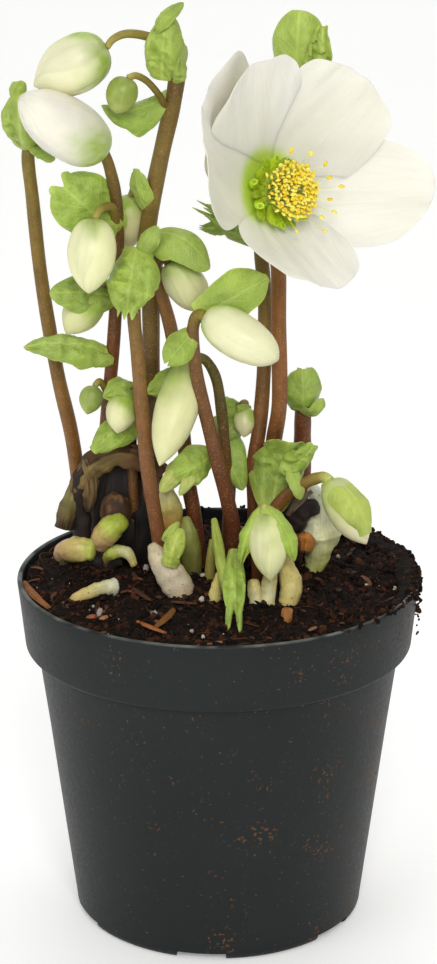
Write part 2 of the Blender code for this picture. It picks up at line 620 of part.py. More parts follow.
def build_stalk(name, plan, collection, finish):
    """Builds a stalk with its branches and bracts as one solid; returns its bud necks and hole cutter."""
    radii = [r * MM for r in plan["radii"]]
    line = [at(p) for p in plan["route"]]
    stem = tube(name + "_stem", line, radii, collection, 2)
    necks = {None: (line[-2], line[-1])}
    pieces = []
    for i, (route, radius) in enumerate(plan.get("branches", [])):
        branch_line = flowing([at(p) for p in route])
        pieces.append(tube(f"{name}_branch_{i}", branch_line, [radius * MM, NECK_RADIUS], collection, 1))
        necks[i] = (branch_line[-2], branch_line[-1])
    for i, leaf in enumerate(plan.get("bracts", [])):
        pieces.append(bract(f"{name}_bract_{i}", *leaf, collection))
    hole = hole_for(name + "_hole", line, radii, collection)
    fused(stem, pieces, name, finish)
    return necks, hole


def bloom_frame():
    """The bloom's own frame: +Z is the way it looks, +X points right and away, +Y up."""
    look = Vector(BLOOM_LOOK).normalized()
    right = Vector((0, 0, 1)).cross(look).normalized()
    up = look.cross(right)
    turn = Matrix((right, up, look)).transposed().to_4x4()
    return Matrix.Translation(at(BLOOM_BASE)) @ turn


def sepal_place(angle, length, rise, width, sway, layer, end):
    """The formula of one sepal: flat at its base, then rising as a cup to a broad, softly waved edge."""
    around = Matrix.Rotation(math.radians(angle), 3, "Z")
    reach = length * math.cos(math.radians(rise))
    lift = length * math.sin(math.radians(rise))

    def place(t, s):
        grow = 0.16 + 0.84 * math.sin(math.pi / 2 * min(1, t / 0.62)) ** 0.9
        narrow = 1 - (1 - end) * max(0, (t - 0.62) / 0.38) ** 2
        half = 0.5 * width * grow * narrow
        out = reach * t * (1 - 0.20 * t * s * s)
        side = half * s + sway * t * t
        up = lift * t ** 1.7 + 0.11 * half * s * s * t + LAYER * layer * (0.25 + 0.75 * t)
        wave = 0.03 * width * math.sin(2.4 * s + angle) * t * t
        return around @ Vector((out * MM, side * MM, (up + wave) * MM))

    return place


def disc(name, profile, collection):
    """One of the discs in the bloom's middle, from its profile in mm."""
    return turned(name, [(r * MM, z * MM) for r, z in profile], 10, collection)


def leaning(name, around, line, radii, collection, rounding):
    """A thin part of the bloom that leans outwards at an angle round it, by (distance, height) in mm."""
    places = [at((r * math.cos(around), r * math.sin(around), z)) for r, z in line]
    return tube(name, places, [r * MM for r in radii], collection, rounding)


def stamen(name, around, foot, head, collection):
    """A thin filament from foot to head, with an anther as its end."""
    neck = [foot[k] + (head[k] - foot[k]) * (1 - ANTHER_SHARE - ANTHER_NECK) for k in (0, 1)]
    swell = [foot[k] + (head[k] - foot[k]) * (1 - ANTHER_SHARE) for k in (0, 1)]
    radii = (FILAMENT_RADIUS, FILAMENT_RADIUS, *ANTHER_RADII)
    return leaning(name, around, [foot, neck, swell, head], radii, collection, 0)


def build_bloom(collection, petal, nectar, pollen, pistil):
    """The open flower, as a stack of thin discs: sepals, nectaries, stamens and, in the middle, carpels."""
    place = bloom_frame()
    sepals = []
    for i, plan in enumerate(SEPALS):
        sepals.append(blade_grid(f"sepal_{i}", 5, 5, sepal_place(*plan), collection))
    flower = fused(disc("seat", SEAT, collection), sepals, "bloom_sepals", petal)

    cups = []
    for i in range(NECTARIES):
        around = math.tau * (i + 0.3) / NECTARIES
        cups.append(leaning(f"cup_{i}", around, *CUP, collection, 1))
    nectaries = fused(disc("ring", RING, collection), cups, "bloom_nectaries", nectar)

    threads = []
    for i in range(STAMENS):
        share = math.sqrt((i + STAMENS_LEFT_OUT) / (STAMENS + STAMENS_LEFT_OUT))
        foot = (FOOT_SPREAD[0] + FOOT_SPREAD[1] * share, FOOT_LEVEL)
        head = (HEAD_REACH * share, HEAD_LEVEL[0] - HEAD_LEVEL[1] * share ** 2)
        threads.append(stamen(f"stamen_{i}", i * GOLDEN_ANGLE, foot, head, collection))
    for i, (angle, reach) in enumerate(LOOSE_STAMENS):
        foot, head = (LOOSE_FOOT, FOOT_LEVEL), (reach, LOOSE_LEVEL)
        threads.append(stamen(f"loose_{i}", math.radians(angle), foot, head, collection))
    stamens = fused(disc("collar", COLLAR, collection), threads, "bloom_stamens", pollen)

    styles = []
    for i in range(CARPELS):
        styles.append(leaning(f"style_{i}", math.tau * i / CARPELS, *STYLE, collection, 0))
    carpels = fused(disc("heart", HEART, collection), styles, "bloom_carpels", pistil)
    for piece in (flower, nectaries, stamens, carpels):
        piece.matrix_world = place


def main():
    for old in list(bpy.data.objects):
        bpy.data.objects.remove(old)
    scene = bpy.context.scene
    collection = bpy.data.collections.new("potted_christmas_rose")
    scene.collection.children.link(collection)

    stem_finish = material("stem", STEM_COLOUR, 0.5)
    bud_finish = material("bud", BUD_COLOUR, 0.45)
    shoot_finish = material("shoot", SHOOT_COLOUR, 0.5)
    husk_finish = material("husk", HUSK_COLOUR, 0.8)

    build_pot(collection)
    holes = []
    necks = {}
    for name, plan in STALKS.items():
        finish = shoot_finish if name.startswith("shoot") else stem_finish
        necks[name], hole = build_stalk(name, plan, collection, finish)
        holes.append(hole)
    for name, (stalk, branch, tip, width) in BUDS.items():
        before, neck = necks[stalk][branch]
        start = neck + (neck - before).normalized() * CLEARANCE
        bud(name, start, at(tip), width * MM, collection, bud_finish)
    for name, (route, radii) in SHOOTS.items():
        line = [at(p) for p in route]
        wide = [r * MM for r in radii]
        shoot = tube(name, line, wide, collection, 2)
        shoot.data.materials.append(husk_finish if name.startswith("old") else shoot_finish)
        smooth(shoot)
        holes.append(tube(name + "_hole", line, [r + CLEARANCE for r in wide], collection, 2))
    build_soil(collection, holes)
    build_bloom(collection, material("petal", PETAL_COLOUR, 0.5), material("nectary", NECTARY_COLOUR, 0.4),
                material("stamen", STAMEN_COLOUR, 0.6), material("carpel", CARPEL_COLOUR, 0.5))


main()
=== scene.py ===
# %% [markdown]
# A Christmas rose in a 12 cm nursery pot. The imported model gives every piece its place and size, and this
# script gives every piece its real surface: smooth stalks, veined leaves, folded buds, a white bloom, loose
# compost and a dusty plastic pot with a highlight painted along its rim. Lengths are in millimetres until a mesh is
# made, as on a drawing.

# %% Load the fixed frame
import json
import math

import bpy
import numpy as np
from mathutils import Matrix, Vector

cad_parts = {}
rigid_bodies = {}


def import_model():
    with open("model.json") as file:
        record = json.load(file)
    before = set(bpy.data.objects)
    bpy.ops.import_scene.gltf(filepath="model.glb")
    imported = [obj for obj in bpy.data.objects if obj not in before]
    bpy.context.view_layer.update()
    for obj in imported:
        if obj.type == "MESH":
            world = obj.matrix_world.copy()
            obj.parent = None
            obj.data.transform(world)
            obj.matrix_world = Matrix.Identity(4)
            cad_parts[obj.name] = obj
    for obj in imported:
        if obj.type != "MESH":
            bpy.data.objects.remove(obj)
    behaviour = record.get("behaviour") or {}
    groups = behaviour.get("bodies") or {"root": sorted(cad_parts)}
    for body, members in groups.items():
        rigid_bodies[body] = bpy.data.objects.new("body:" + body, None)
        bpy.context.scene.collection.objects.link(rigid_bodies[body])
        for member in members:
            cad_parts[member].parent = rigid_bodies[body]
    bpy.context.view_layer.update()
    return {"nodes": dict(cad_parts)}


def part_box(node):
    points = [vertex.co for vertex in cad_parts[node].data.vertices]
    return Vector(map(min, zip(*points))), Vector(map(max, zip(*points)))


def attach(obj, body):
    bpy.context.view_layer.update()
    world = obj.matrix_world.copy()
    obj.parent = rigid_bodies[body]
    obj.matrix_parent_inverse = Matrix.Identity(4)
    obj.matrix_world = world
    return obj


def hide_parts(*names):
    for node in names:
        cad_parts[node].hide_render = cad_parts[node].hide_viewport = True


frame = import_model()
MM = 0.001
print("nodes in the frame:", len(frame["nodes"]))

# %% [markdown]
# The plant is seen from a little above, as on a table in front of the viewer. A long lens from 0.83 m keeps
# the pot's sides nearly straight, as a product picture does.

# %% Camera
AIM_HEIGHT = 135.5
CAMERA_DISTANCE = 830
CAMERA_RISE = math.radians(18.6)
LENS = 104.6

camera = bpy.data.objects.new("camera", bpy.data.cameras.new("camera"))
bpy.context.scene.collection.objects.link(camera)
camera.location = (0, -CAMERA_DISTANCE * math.cos(CAMERA_RISE) * MM,
                   (AIM_HEIGHT + CAMERA_DISTANCE * math.sin(CAMERA_RISE)) * MM)
camera.rotation_euler = (math.pi / 2 - CAMERA_RISE, 0, 0)
camera.data.lens = LENS
camera.data.sensor_width = 36
camera.data.clip_start = 0.01
bpy.context.scene.camera = camera
print("camera at", [round(v, 3) for v in camera.location])

# %% [markdown]
# Colours are written as a colour picker shows them, from 0 to 255, and turned into the linear light that the
# shaders work in. A ramp of such colours, read along a stalk or a petal, tints a piece from foot to tip.

# %% Colours and ramps


def rgb(red, green, blue):
    """A screen colour from 0 to 255 as linear light: divided by 255, then the screen's curve undone."""
    share = np.array([red, green, blue], float) / 255
    return np.where(share <= 0.04045, share / 12.92, ((share + 0.055) / 1.055) ** 2.4)


def ramp(x, stops):
    """The colour at each x: straight steps between stops of (place, colour)."""
    places = [stop[0] for stop in stops]
    colours = np.array([stop[1] for stop in stops])
    return np.stack([np.interp(x, places, colours[:, k]) for k in range(3)], -1)


def mix(a, b, share):
    """Goes from a to b by the share, which may differ from point to point."""
    share = np.asarray(share)[..., None]
    return a * (1 - share) + b * share


def step(x, low, high):
    """An S-curve from 0 at low to 1 at high: 3t^2 - 2t^3."""
    t = np.clip((np.asarray(x, float) - low) / (high - low), 0, 1)
    return t * t * (3 - 2 * t)


print("mid grey is", np.round(rgb(128, 128, 128), 3))

# %% [markdown]
# Nothing that grows is quite even. A repeatable noise gives every surface its small swellings: each corner of
# a cubic lattice gets a fixed random number, and the points between are blended smoothly.

# %% Noise


def corner(x, y, z, seed):
    """A fixed random number from 0 to 1 for each lattice corner, mixed from its whole-number place."""
    mixed = (x * 374761393 + y * 668265263 + z * 1442695041 + seed * 974711) & 0xFFFFFFFF
    mixed = ((mixed ^ (mixed >> 13)) * 1274126177) & 0xFFFFFFFF
    return ((mixed ^ (mixed >> 16)) & 0xFFFF) / 65535


def noise(place, seed=0):
    """Smooth noise from -1 to 1, one lump per unit: the eight corners round a point, blended by an S-curve."""
    base = np.floor(place).astype(np.int64)
    part = place - base
    part = part * part * (3 - 2 * part)
    total = 0
    for dx in (0, 1):
        for dy in (0, 1):
            for dz in (0, 1):
                share = np.abs(1 - dx - part[..., 0]) * np.abs(1 - dy - part[..., 1])
                share = share * np.abs(1 - dz - part[..., 2])
                total = total + share * corner(base[..., 0] + dx, base[..., 1] + dy, base[..., 2] + dz, seed)
    return total * 2 - 1


def cloud(place, octaves=3, seed=0):
    """Noise on noise: each octave is twice as fine and half as strong as the one before."""
    return sum(noise(place * 2 ** k, seed + k) / 2 ** k for k in range(octaves))


print("noise at the origin:", round(float(noise(np.zeros((1, 3)))[0]), 3))

# %% [markdown]
# Each surface is a grid of points worked out from two parameters. A closed body is a row of rings with a pole
# at each end, and a leaf is a sheet with two faces and a rim. Both carry two attributes for the shaders: its
# tint, and its flow, which says how far along and how far across the piece a point lies.

# %% Surfaces from grids


def unit(vectors):
    return vectors / np.maximum(np.linalg.norm(vectors, axis=-1, keepdims=True), 1e-12)


def ring_faces(rings, around):
    """Quads between neighbouring rings of a closed body, numbered ring by ring."""
    i, j = np.meshgrid(np.arange(rings - 1), np.arange(around), indexing="ij")
    k = (j + 1) % around
    return np.stack([i * around + j, i * around + k, (i + 1) * around + k, (i + 1) * around + j], -1).reshape(-1, 4)


def closed(rings, tint, flow, finish=0):
    """A closed body from rings (n, m, 3), counter-clockwise seen from the last one, with a pole at each end."""
    n, m = rings.shape[:2]
    first, last = n * m, n * m + 1

    def with_poles(values):
        values = np.broadcast_to(values, (n, m, 3))
        return np.concatenate([values.reshape(-1, 3), [values[0].mean(0)], [values[-1].mean(0)]])

    j = np.arange(m)
    k = (j + 1) % m
    start = np.stack([np.full(m, first), k, j], -1)
    end = np.stack([np.full(m, last), (n - 1) * m + j, (n - 1) * m + k], -1)
    return {"co": with_poles(rings), "tint": with_poles(tint), "flow": with_poles(flow),
            "quads": ring_faces(n, m), "tris": np.concatenate([start, end]), "finish": finish}


def shell(sheet, thickness, tint, under, along, across, finish=0):
    """A thin closed leaf from a sheet (n, m, 3): the sheet moved half the thickness both ways, and a rim."""
    n, m = sheet.shape[:2]
    slope_u = np.gradient(sheet, axis=0)
    slope_v = np.gradient(sheet, axis=1)
    out = unit(np.cross(slope_u, slope_v))
    u, v = np.meshgrid(np.linspace(0, 1, n), np.linspace(0, 1, m), indexing="ij")
    edge = np.minimum(np.minimum(v, 1 - v) * 2, 1 - u)
    half = (0.5 * thickness * (0.3 + 0.7 * step(edge, 0, 0.15)))[..., None]
    co = np.concatenate([(sheet + out * half).reshape(-1, 3), (sheet - out * half).reshape(-1, 3)])
    i, j = np.meshgrid(np.arange(n - 1), np.arange(m - 1), indexing="ij")
    top = np.stack([i * m + j, (i + 1) * m + j, (i + 1) * m + j + 1, i * m + j + 1], -1).reshape(-1, 4)
    rim = np.concatenate([np.arange(n - 1) * m, (n - 1) * m + np.arange(m - 1),
                          np.arange(n - 1, 0, -1) * m + m - 1, np.arange(m - 1, 0, -1)])
    nxt = np.roll(rim, -1)
    low = n * m
    quads = np.concatenate([top, top[:, ::-1] + low, np.stack([rim, rim + low, nxt + low, nxt], -1)])
    flow = np.stack([np.broadcast_to(along, (n, m)), np.broadcast_to(across, (n, m)), np.zeros((n, m))], -1)
    below = flow + np.array([0, 0, 1])
    return {"co": co, "quads": quads, "tris": np.zeros((0, 3), int), "finish": finish,
            "tint": np.concatenate([np.broadcast_to(tint, (n, m, 3)).reshape(-1, 3),
                                    np.broadcast_to(under, (n, m, 3)).reshape(-1, 3)]),
            "flow": np.concatenate([flow.reshape(-1, 3), below.reshape(-1, 3)])}


# %% [markdown]
# A piece joins its parts into one mesh whose object stays at the origin. It rides on the frame's only body,
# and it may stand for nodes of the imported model, which are then hidden. How far its outline is from theirs is
# printed, so that a slip in a copied place shows at once.

# %% Pieces from parts
SHARP_ANGLE = math.radians(50)
TOTAL = {"triangles": 0}


def joined(parts, key, width):
    """The values of all the parts in one array, with face corners numbered on from part to part."""
    shift = 0
    rows = []
    for part in parts:
        rows.append(part[key] + (shift if key in ("quads", "tris") else 0))
        shift += len(part["co"])
    return np.concatenate(rows).reshape(-1, width)


def piece(name, parts, finishes, nodes=()):
    """Makes one object of the parts, smooth shaded, in the frame, for the named nodes."""
    co, quads, tris = joined(parts, "co", 3) * MM, joined(parts, "quads", 4), joined(parts, "tris", 3)
    mesh = bpy.data.meshes.new(name)
    mesh.vertices.add(len(co))
    mesh.vertices.foreach_set("co", co.ravel().astype(np.float32))
    corners = np.concatenate([quads.ravel(), tris.ravel()]).astype(np.int32)
    sizes = np.concatenate([np.full(len(quads), 4), np.full(len(tris), 3)])
    mesh.loops.add(len(corners))
    mesh.loops.foreach_set("vertex_index", corners)
    mesh.polygons.add(len(sizes))
    mesh.polygons.foreach_set("loop_start", (np.cumsum(sizes) - sizes).astype(np.int32))
    finish = np.concatenate([np.full(len(p["quads"]), p["finish"]) for p in parts]
                            + [np.full(len(p["tris"]), p["finish"]) for p in parts])
    mesh.polygons.foreach_set("material_index", finish.astype(np.int32))
    tint = mesh.attributes.new("tint", "FLOAT_COLOR", "POINT")
    colours = np.concatenate([joined(parts, "tint", 3), np.ones((len(co), 1))], 1)
    tint.data.foreach_set("color", colours.ravel().astype(np.float32))
    flow = mesh.attributes.new("flow", "FLOAT_VECTOR", "POINT")
    flow.data.foreach_set("vector", joined(parts, "flow", 3).ravel().astype(np.float32))
    mesh.update(calc_edges=True)
    mesh.validate()
    mesh.shade_smooth()
    mesh.set_sharp_from_angle(angle=SHARP_ANGLE)
    made = bpy.data.objects.new(name, mesh)
    bpy.context.scene.collection.objects.link(made)
    for one in finishes:
        mesh.materials.append(one)
    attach(made, "root")
    triangles = 2 * len(quads) + len(tris)
    TOTAL["triangles"] += triangles
    report = f"{name}: {triangles} triangles"
    if nodes:
        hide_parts(*nodes)
        boxes = np.array([[list(corner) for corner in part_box(node)] for node in nodes]) / MM
        low, high = boxes[:, 0].min(0), boxes[:, 1].max(0)
        apart = max(np.abs(co.min(0) / MM - low).max(), np.abs(co.max(0) / MM - high).max())
        report += f", outline within {apart:.1f} mm of the frame's"
    print(report)
    return made


# %% [markdown]
# A material is a graph of nodes. The helper below adds a node and fills its sockets, each with a number, a
# colour or another node's output, so that a shader reads like a list of steps.

# %% Shader helpers


def add(tree, kind, settings=None, **inputs):
    """Adds a node. An input's name has _ for a space, and its value is a number, a colour or a socket."""
    made = tree.nodes.new(kind)
    for key, value in (settings or {}).items():
        setattr(made, key, value)
    for key, value in inputs.items():
        socket = made.inputs[key.replace("_", " ")]
        if isinstance(value, bpy.types.NodeSocket):
            tree.links.new(value, socket)
        else:
            socket.default_value = value
    return made


def maths(tree, operation, first, second=0.0, clamp=False):
    """A maths node on two numbers or sockets."""
    made = tree.nodes.new("ShaderNodeMath")
    made.operation = operation
    made.use_clamp = clamp
    for socket, value in zip(made.inputs, (first, second)):
        if isinstance(value, bpy.types.NodeSocket):
            tree.links.new(value, socket)
        else:
            socket.default_value = value
    return made.outputs[0]


def blended(tree, share, first, second, mode="MIX"):
    """Mixes two colours by a share."""
    made = tree.nodes.new("ShaderNodeMix")
    made.data_type = "RGBA"
    made.blend_type = mode
    for index, value in ((0, share), (6, first), (7, second)):
        if isinstance(value, bpy.types.NodeSocket):
            tree.links.new(value, made.inputs[index])
        else:
            made.inputs[index].default_value = value
    return made.outputs[2]


def eased(tree, value, low, high, start=0.0, end=1.0):
    """Goes smoothly from start to end as the value goes from low to high."""
    made = add(tree, "ShaderNodeMapRange", {"interpolation_type": "SMOOTHSTEP"}, Value=value, From_Min=low,
               From_Max=high, To_Min=start, To_Max=end)
    return made.outputs[0]


def opaque(colour):
    return (*[float(c) for c in colour], 1.0)


def group(name, sockets):
    """An empty shader group: sockets are (name, type, way in or out, starting value)."""
    made = bpy.data.node_groups.new(name, "ShaderNodeTree")
    for title, kind, way, start in sockets:
        socket = made.interface.new_socket(title, in_out=way, socket_type="NodeSocket" + kind)
        if start is not None:
            socket.default_value = start
    made.nodes.new("NodeGroupInput")
    made.nodes.new("NodeGroupOutput")
    return made


def placed(tree, effect, **inputs):
    """Places an effect's group in a material."""
    return add(tree, "ShaderNodeGroup", {"node_tree": effect}, **inputs)


# %% [markdown]
# Four effects come back in many finishes. Mottle makes a colour lighter and darker in soft patches. Speckle
# scatters dots of another colour. Veins draws a midrib, side veins and a fine net along a leaf's own flow.
# Streaks draws long thin lines from foot to tip, as on petals, buds and dry husks.

# %% Shared effect: mottle
mottle = group("mottle", [
    ("Colour", "Color", "INPUT", (0.5, 0.5, 0.5, 1)), ("Size", "Float", "INPUT", 300.0),
    ("Strength", "Float", "INPUT", 0.3), ("Colour", "Color", "OUTPUT", None), ("Height", "Float", "OUTPUT", None)])
spot = add(mottle, "ShaderNodeTexCoord").outputs["Object"]
patches = add(mottle, "ShaderNodeTexNoise", Vector=spot, Scale=mottle.nodes["Group Input"].outputs["Size"],
              Detail=4.0, Roughness=0.6).outputs[0]
swing = maths(mottle, "MULTIPLY", maths(mottle, "SUBTRACT", patches, 0.5),
              mottle.nodes["Group Input"].outputs["Strength"])
bright = maths(mottle, "ADD", maths(mottle, "MULTIPLY", swing, 2.0), 1.0)
grey = add(mottle, "ShaderNodeCombineXYZ", X=bright, Y=bright, Z=bright).outputs[0]
mottle.links.new(blended(mottle, 1.0, mottle.nodes["Group Input"].outputs["Colour"], grey, "MULTIPLY"),
                 mottle.nodes["Group Output"].inputs["Colour"])
mottle.links.new(patches, mottle.nodes["Group Output"].inputs["Height"])
print("mottle has", len(mottle.nodes), "nodes")

# %% Shared effect: speckle
speckle = group("speckle", [
    ("Colour", "Color", "INPUT", (0.5, 0.5, 0.5, 1)), ("Dots", "Color", "INPUT", (0.1, 0.1, 0.1, 1)),
    ("Size", "Float", "INPUT", 900.0), ("Amount", "Float", "INPUT", 0.3),
    ("Colour", "Color", "OUTPUT", None), ("Mask", "Float", "OUTPUT", None)])
inputs = speckle.nodes["Group Input"].outputs
spot = add(speckle, "ShaderNodeTexCoord").outputs["Object"]
grain = add(speckle, "ShaderNodeTexNoise", Vector=spot, Scale=inputs["Size"], Detail=2.0).outputs[0]
dots = eased(speckle, maths(speckle, "ADD", grain, maths(speckle, "MULTIPLY", inputs["Amount"], 0.25)), 0.60, 0.72)
speckle.links.new(blended(speckle, dots, inputs["Colour"], inputs["Dots"]),
                  speckle.nodes["Group Output"].inputs["Colour"])
speckle.links.new(dots, speckle.nodes["Group Output"].inputs["Mask"])
print("speckle has", len(speckle.nodes), "nodes")

# %% Shared effect: veins
veins = group("veins", [
    ("Colour", "Color", "INPUT", (0.5, 0.5, 0.5, 1)), ("Vein Colour", "Color", "INPUT", (0.6, 0.7, 0.3, 1)),
    ("Strength", "Float", "INPUT", 0.5), ("Colour", "Color", "OUTPUT", None), ("Height", "Float", "OUTPUT", None)])
inputs = veins.nodes["Group Input"].outputs
flow = add(veins, "ShaderNodeSeparateXYZ",
           Vector=add(veins, "ShaderNodeAttribute", {"attribute_name": "flow"}).outputs["Vector"]).outputs
spot = add(veins, "ShaderNodeTexCoord").outputs["Object"]
wobble = add(veins, "ShaderNodeTexNoise", Vector=spot, Scale=160.0, Detail=1.0).outputs[0]
side = maths(veins, "ABSOLUTE", flow["Y"])
midrib = eased(veins, side, 0.0, 0.09, 1.0, 0.0)
phase = maths(veins, "SUBTRACT", maths(veins, "MULTIPLY", flow["X"], 7.5), maths(veins, "MULTIPLY", side, 2.6))
phase = maths(veins, "ADD", phase, wobble)
ribs = eased(veins, maths(veins, "PINGPONG", phase, 0.5), 0.0, 0.10, 1.0, 0.0)
lattice = add(veins, "ShaderNodeCombineXYZ", X=maths(veins, "MULTIPLY", flow["X"], 17.0),
              Y=maths(veins, "MULTIPLY", flow["Y"], 7.0), Z=wobble).outputs[0]
net = add(veins, "ShaderNodeTexVoronoi", {"feature": "DISTANCE_TO_EDGE"}, Vector=lattice, Scale=1.0).outputs[0]
net = eased(veins, net, 0.0, 0.12, 1.0, 0.0)
lines = maths(veins, "MAXIMUM", maths(veins, "MULTIPLY", midrib, 0.6), maths(veins, "MULTIPLY", ribs, 0.6))
lines = maths(veins, "MAXIMUM", lines, maths(veins, "MULTIPLY", net, 0.35))
veins.links.new(blended(veins, maths(veins, "MULTIPLY", lines, inputs["Strength"]), inputs["Colour"],
                        inputs["Vein Colour"]), veins.nodes["Group Output"].inputs["Colour"])
veins.links.new(maths(veins, "SUBTRACT", wobble, lines), veins.nodes["Group Output"].inputs["Height"])
print("veins has", len(veins.nodes), "nodes")

# %% Shared effect: streaks
streaks = group("streaks", [
    ("Colour", "Color", "INPUT", (0.5, 0.5, 0.5, 1)), ("Line Colour", "Color", "INPUT", (0.3, 0.3, 0.3, 1)),
    ("Across", "Float", "INPUT", 30.0), ("Along", "Float", "INPUT", 1.5), ("Strength", "Float", "INPUT", 0.5),
    ("Colour", "Color", "OUTPUT", None), ("Height", "Float", "OUTPUT", None)])
inputs = streaks.nodes["Group Input"].outputs
flow = add(streaks, "ShaderNodeSeparateXYZ",
           Vector=add(streaks, "ShaderNodeAttribute", {"attribute_name": "flow"}).outputs["Vector"]).outputs
drawn = add(streaks, "ShaderNodeCombineXYZ", X=maths(streaks, "MULTIPLY", flow["X"], inputs["Along"]),
            Y=maths(streaks, "MULTIPLY", flow["Y"], inputs["Across"]), Z=flow["Z"]).outputs[0]
thread = add(streaks, "ShaderNodeTexNoise", Vector=drawn, Scale=1.0, Detail=3.0, Roughness=0.55).outputs[0]
line = eased(streaks, thread, 0.50, 0.68)
streaks.links.new(blended(streaks, maths(streaks, "MULTIPLY", line, inputs["Strength"]), inputs["Colour"],
                          inputs["Line Colour"]), streaks.nodes["Group Output"].inputs["Colour"])
streaks.links.new(thread, streaks.nodes["Group Output"].inputs["Height"])
print("streaks has", len(streaks.nodes), "nodes")

# %% [markdown]
# Every living finish starts in the same way: the tint that the piece carries goes through its effects into
# the base colour, their heights bend the light a little, and some light sinks in and comes out again, which
# makes petals and young shoots look soft rather than painted.

# %% Living finishes


def finish(name, roughness, softness=0.0, radius=(1.0, 0.8, 0.4), shine=0.35):
    """A material with a Principled shader; softness is how much light sinks in, to a depth of a millimetre."""
    made = bpy.data.materials.new(name)
    made.use_nodes = True
    tree = made.node_tree
    shader = tree.nodes["Principled BSDF"]
    shader.inputs["Roughness"].default_value = roughness
    shader.inputs["Subsurface Weight"].default_value = softness
    shader.inputs["Subsurface Radius"].default_value = radius
    shader.inputs["Subsurface Scale"].default_value = 1.5 * MM
    shader.inputs["Specular IOR Level"].default_value = shine
    tint = add(tree, "ShaderNodeAttribute", {"attribute_name": "tint"}).outputs["Color"]
    return made, tree, shader, tint


def bumped(tree, shader, height, depth):
    """Bends the light as if the height were this many millimetres deep."""
    bump = add(tree, "ShaderNodeBump", Height=height, Distance=depth * MM, Strength=1.0)
    tree.links.new(bump.outputs[0], shader.inputs["Normal"])


stem_skin, tree, shader, tint = finish("stem_skin", 0.46, 0.05)
soft = placed(tree, mottle, Colour=tint, Size=260.0, Strength=0.55)
dotted = placed(tree, speckle, Colour=soft.outputs[0], Dots=opaque(rgb(150, 112, 50)), Size=2300.0, Amount=0.10)
lined = placed(tree, streaks, Colour=dotted.outputs[0], Line_Colour=opaque(rgb(66, 40, 20)), Across=26.0,
               Along=3.0, Strength=0.30)
tree.links.new(lined.outputs[0], shader.inputs["Base Color"])
bumped(tree, shader, lined.outputs[1], 0.06)

leaf_skin, tree, shader, tint = finish("leaf_skin", 0.42, 0.18, (0.6, 1.0, 0.3))
soft = placed(tree, mottle, Colour=tint, Size=150.0, Strength=0.42)
veined = placed(tree, veins, Colour=soft.outputs[0], Vein_Colour=opaque(rgb(206, 222, 140)), Strength=0.42)
warmer = blended(tree, 1.0, veined.outputs[0], (1.0, 0.97, 0.72, 1), "MULTIPLY")
tree.links.new(warmer, shader.inputs["Base Color"])
bumped(tree, shader, veined.outputs[1], 0.16)

bud_skin, tree, shader, tint = finish("bud_skin", 0.38, 0.30, (1.0, 0.9, 0.6))
soft = placed(tree, mottle, Colour=tint, Size=110.0, Strength=0.12)
lined = placed(tree, streaks, Colour=soft.outputs[0], Line_Colour=opaque(rgb(190, 200, 130)), Across=9.0,
               Along=1.4, Strength=0.16)
tree.links.new(lined.outputs[0], shader.inputs["Base Color"])
bumped(tree, shader, lined.outputs[1], 0.10)

petal_skin, tree, shader, tint = finish("petal_skin", 0.45, 0.35, (1.0, 0.95, 0.8))
soft = placed(tree, mottle, Colour=tint, Size=70.0, Strength=0.07)
lined = placed(tree, streaks, Colour=soft.outputs[0], Line_Colour=opaque(rgb(208, 206, 188)), Across=13.0,
               Along=1.1, Strength=0.16)
tree.links.new(lined.outputs[0], shader.inputs["Base Color"])
bumped(tree, shader, lined.outputs[1], 0.12)

nectar_skin, tree, shader, tint = finish("nectar_skin", 0.30, 0.20, (0.6, 1.0, 0.2))
soft = placed(tree, mottle, Colour=tint, Size=420.0, Strength=0.25)
tree.links.new(soft.outputs[0], shader.inputs["Base Color"])
bumped(tree, shader, soft.outputs[1], 0.08)

pollen, tree, shader, tint = finish("pollen", 0.75, 0.15, (1.0, 0.7, 0.2))
soft = placed(tree, mottle, Colour=tint, Size=1300.0, Strength=0.45)
tree.links.new(soft.outputs[0], shader.inputs["Base Color"])
bumped(tree, shader, soft.outputs[1], 0.12)

filament_skin, tree, shader, tint = finish("filament_skin", 0.40, 0.30, (0.9, 1.0, 0.5))
soft = placed(tree, mottle, Colour=tint, Size=600.0, Strength=0.15)
tree.links.new(soft.outputs[0], shader.inputs["Base Color"])

shoot_skin, tree, shader, tint = finish("shoot_skin", 0.36, 0.28, (1.0, 0.8, 0.4))
soft = placed(tree, mottle, Colour=tint, Size=330.0, Strength=0.40)
lined = placed(tree, streaks, Colour=soft.outputs[0], Line_Colour=opaque(rgb(168, 140, 96)), Across=11.0,
               Along=2.2, Strength=0.30)
marked_colour = placed(tree, speckle, Colour=lined.outputs[0], Dots=opaque(rgb(132, 104, 66)), Size=1000.0, Amount=-0.16)
tree.links.new(marked_colour.outputs[0], shader.inputs["Base Color"])
bumped(tree, shader, lined.outputs[1], 0.22)

husk_skin, tree, shader, tint = finish("husk_skin", 0.62, 0.05)
soft = placed(tree, mottle, Colour=tint, Size=240.0, Strength=0.48)
lined = placed(tree, streaks, Colour=soft.outputs[0], Line_Colour=opaque(rgb(58, 36, 24)), Across=15.0,
               Along=1.6, Strength=0.38)
tree.links.new(lined.outputs[0], shader.inputs["Base Color"])
bumped(tree, shader, lined.outputs[1], 0.35)
print("living finishes made")

# %% [markdown]
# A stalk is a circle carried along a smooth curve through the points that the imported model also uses. Its
# rings stand square to the curve, and they are turned against one fixed direction, the one in which the route
# is flattest, so that they never twist however far a flower stalk nods.

# %% Curves and tubes


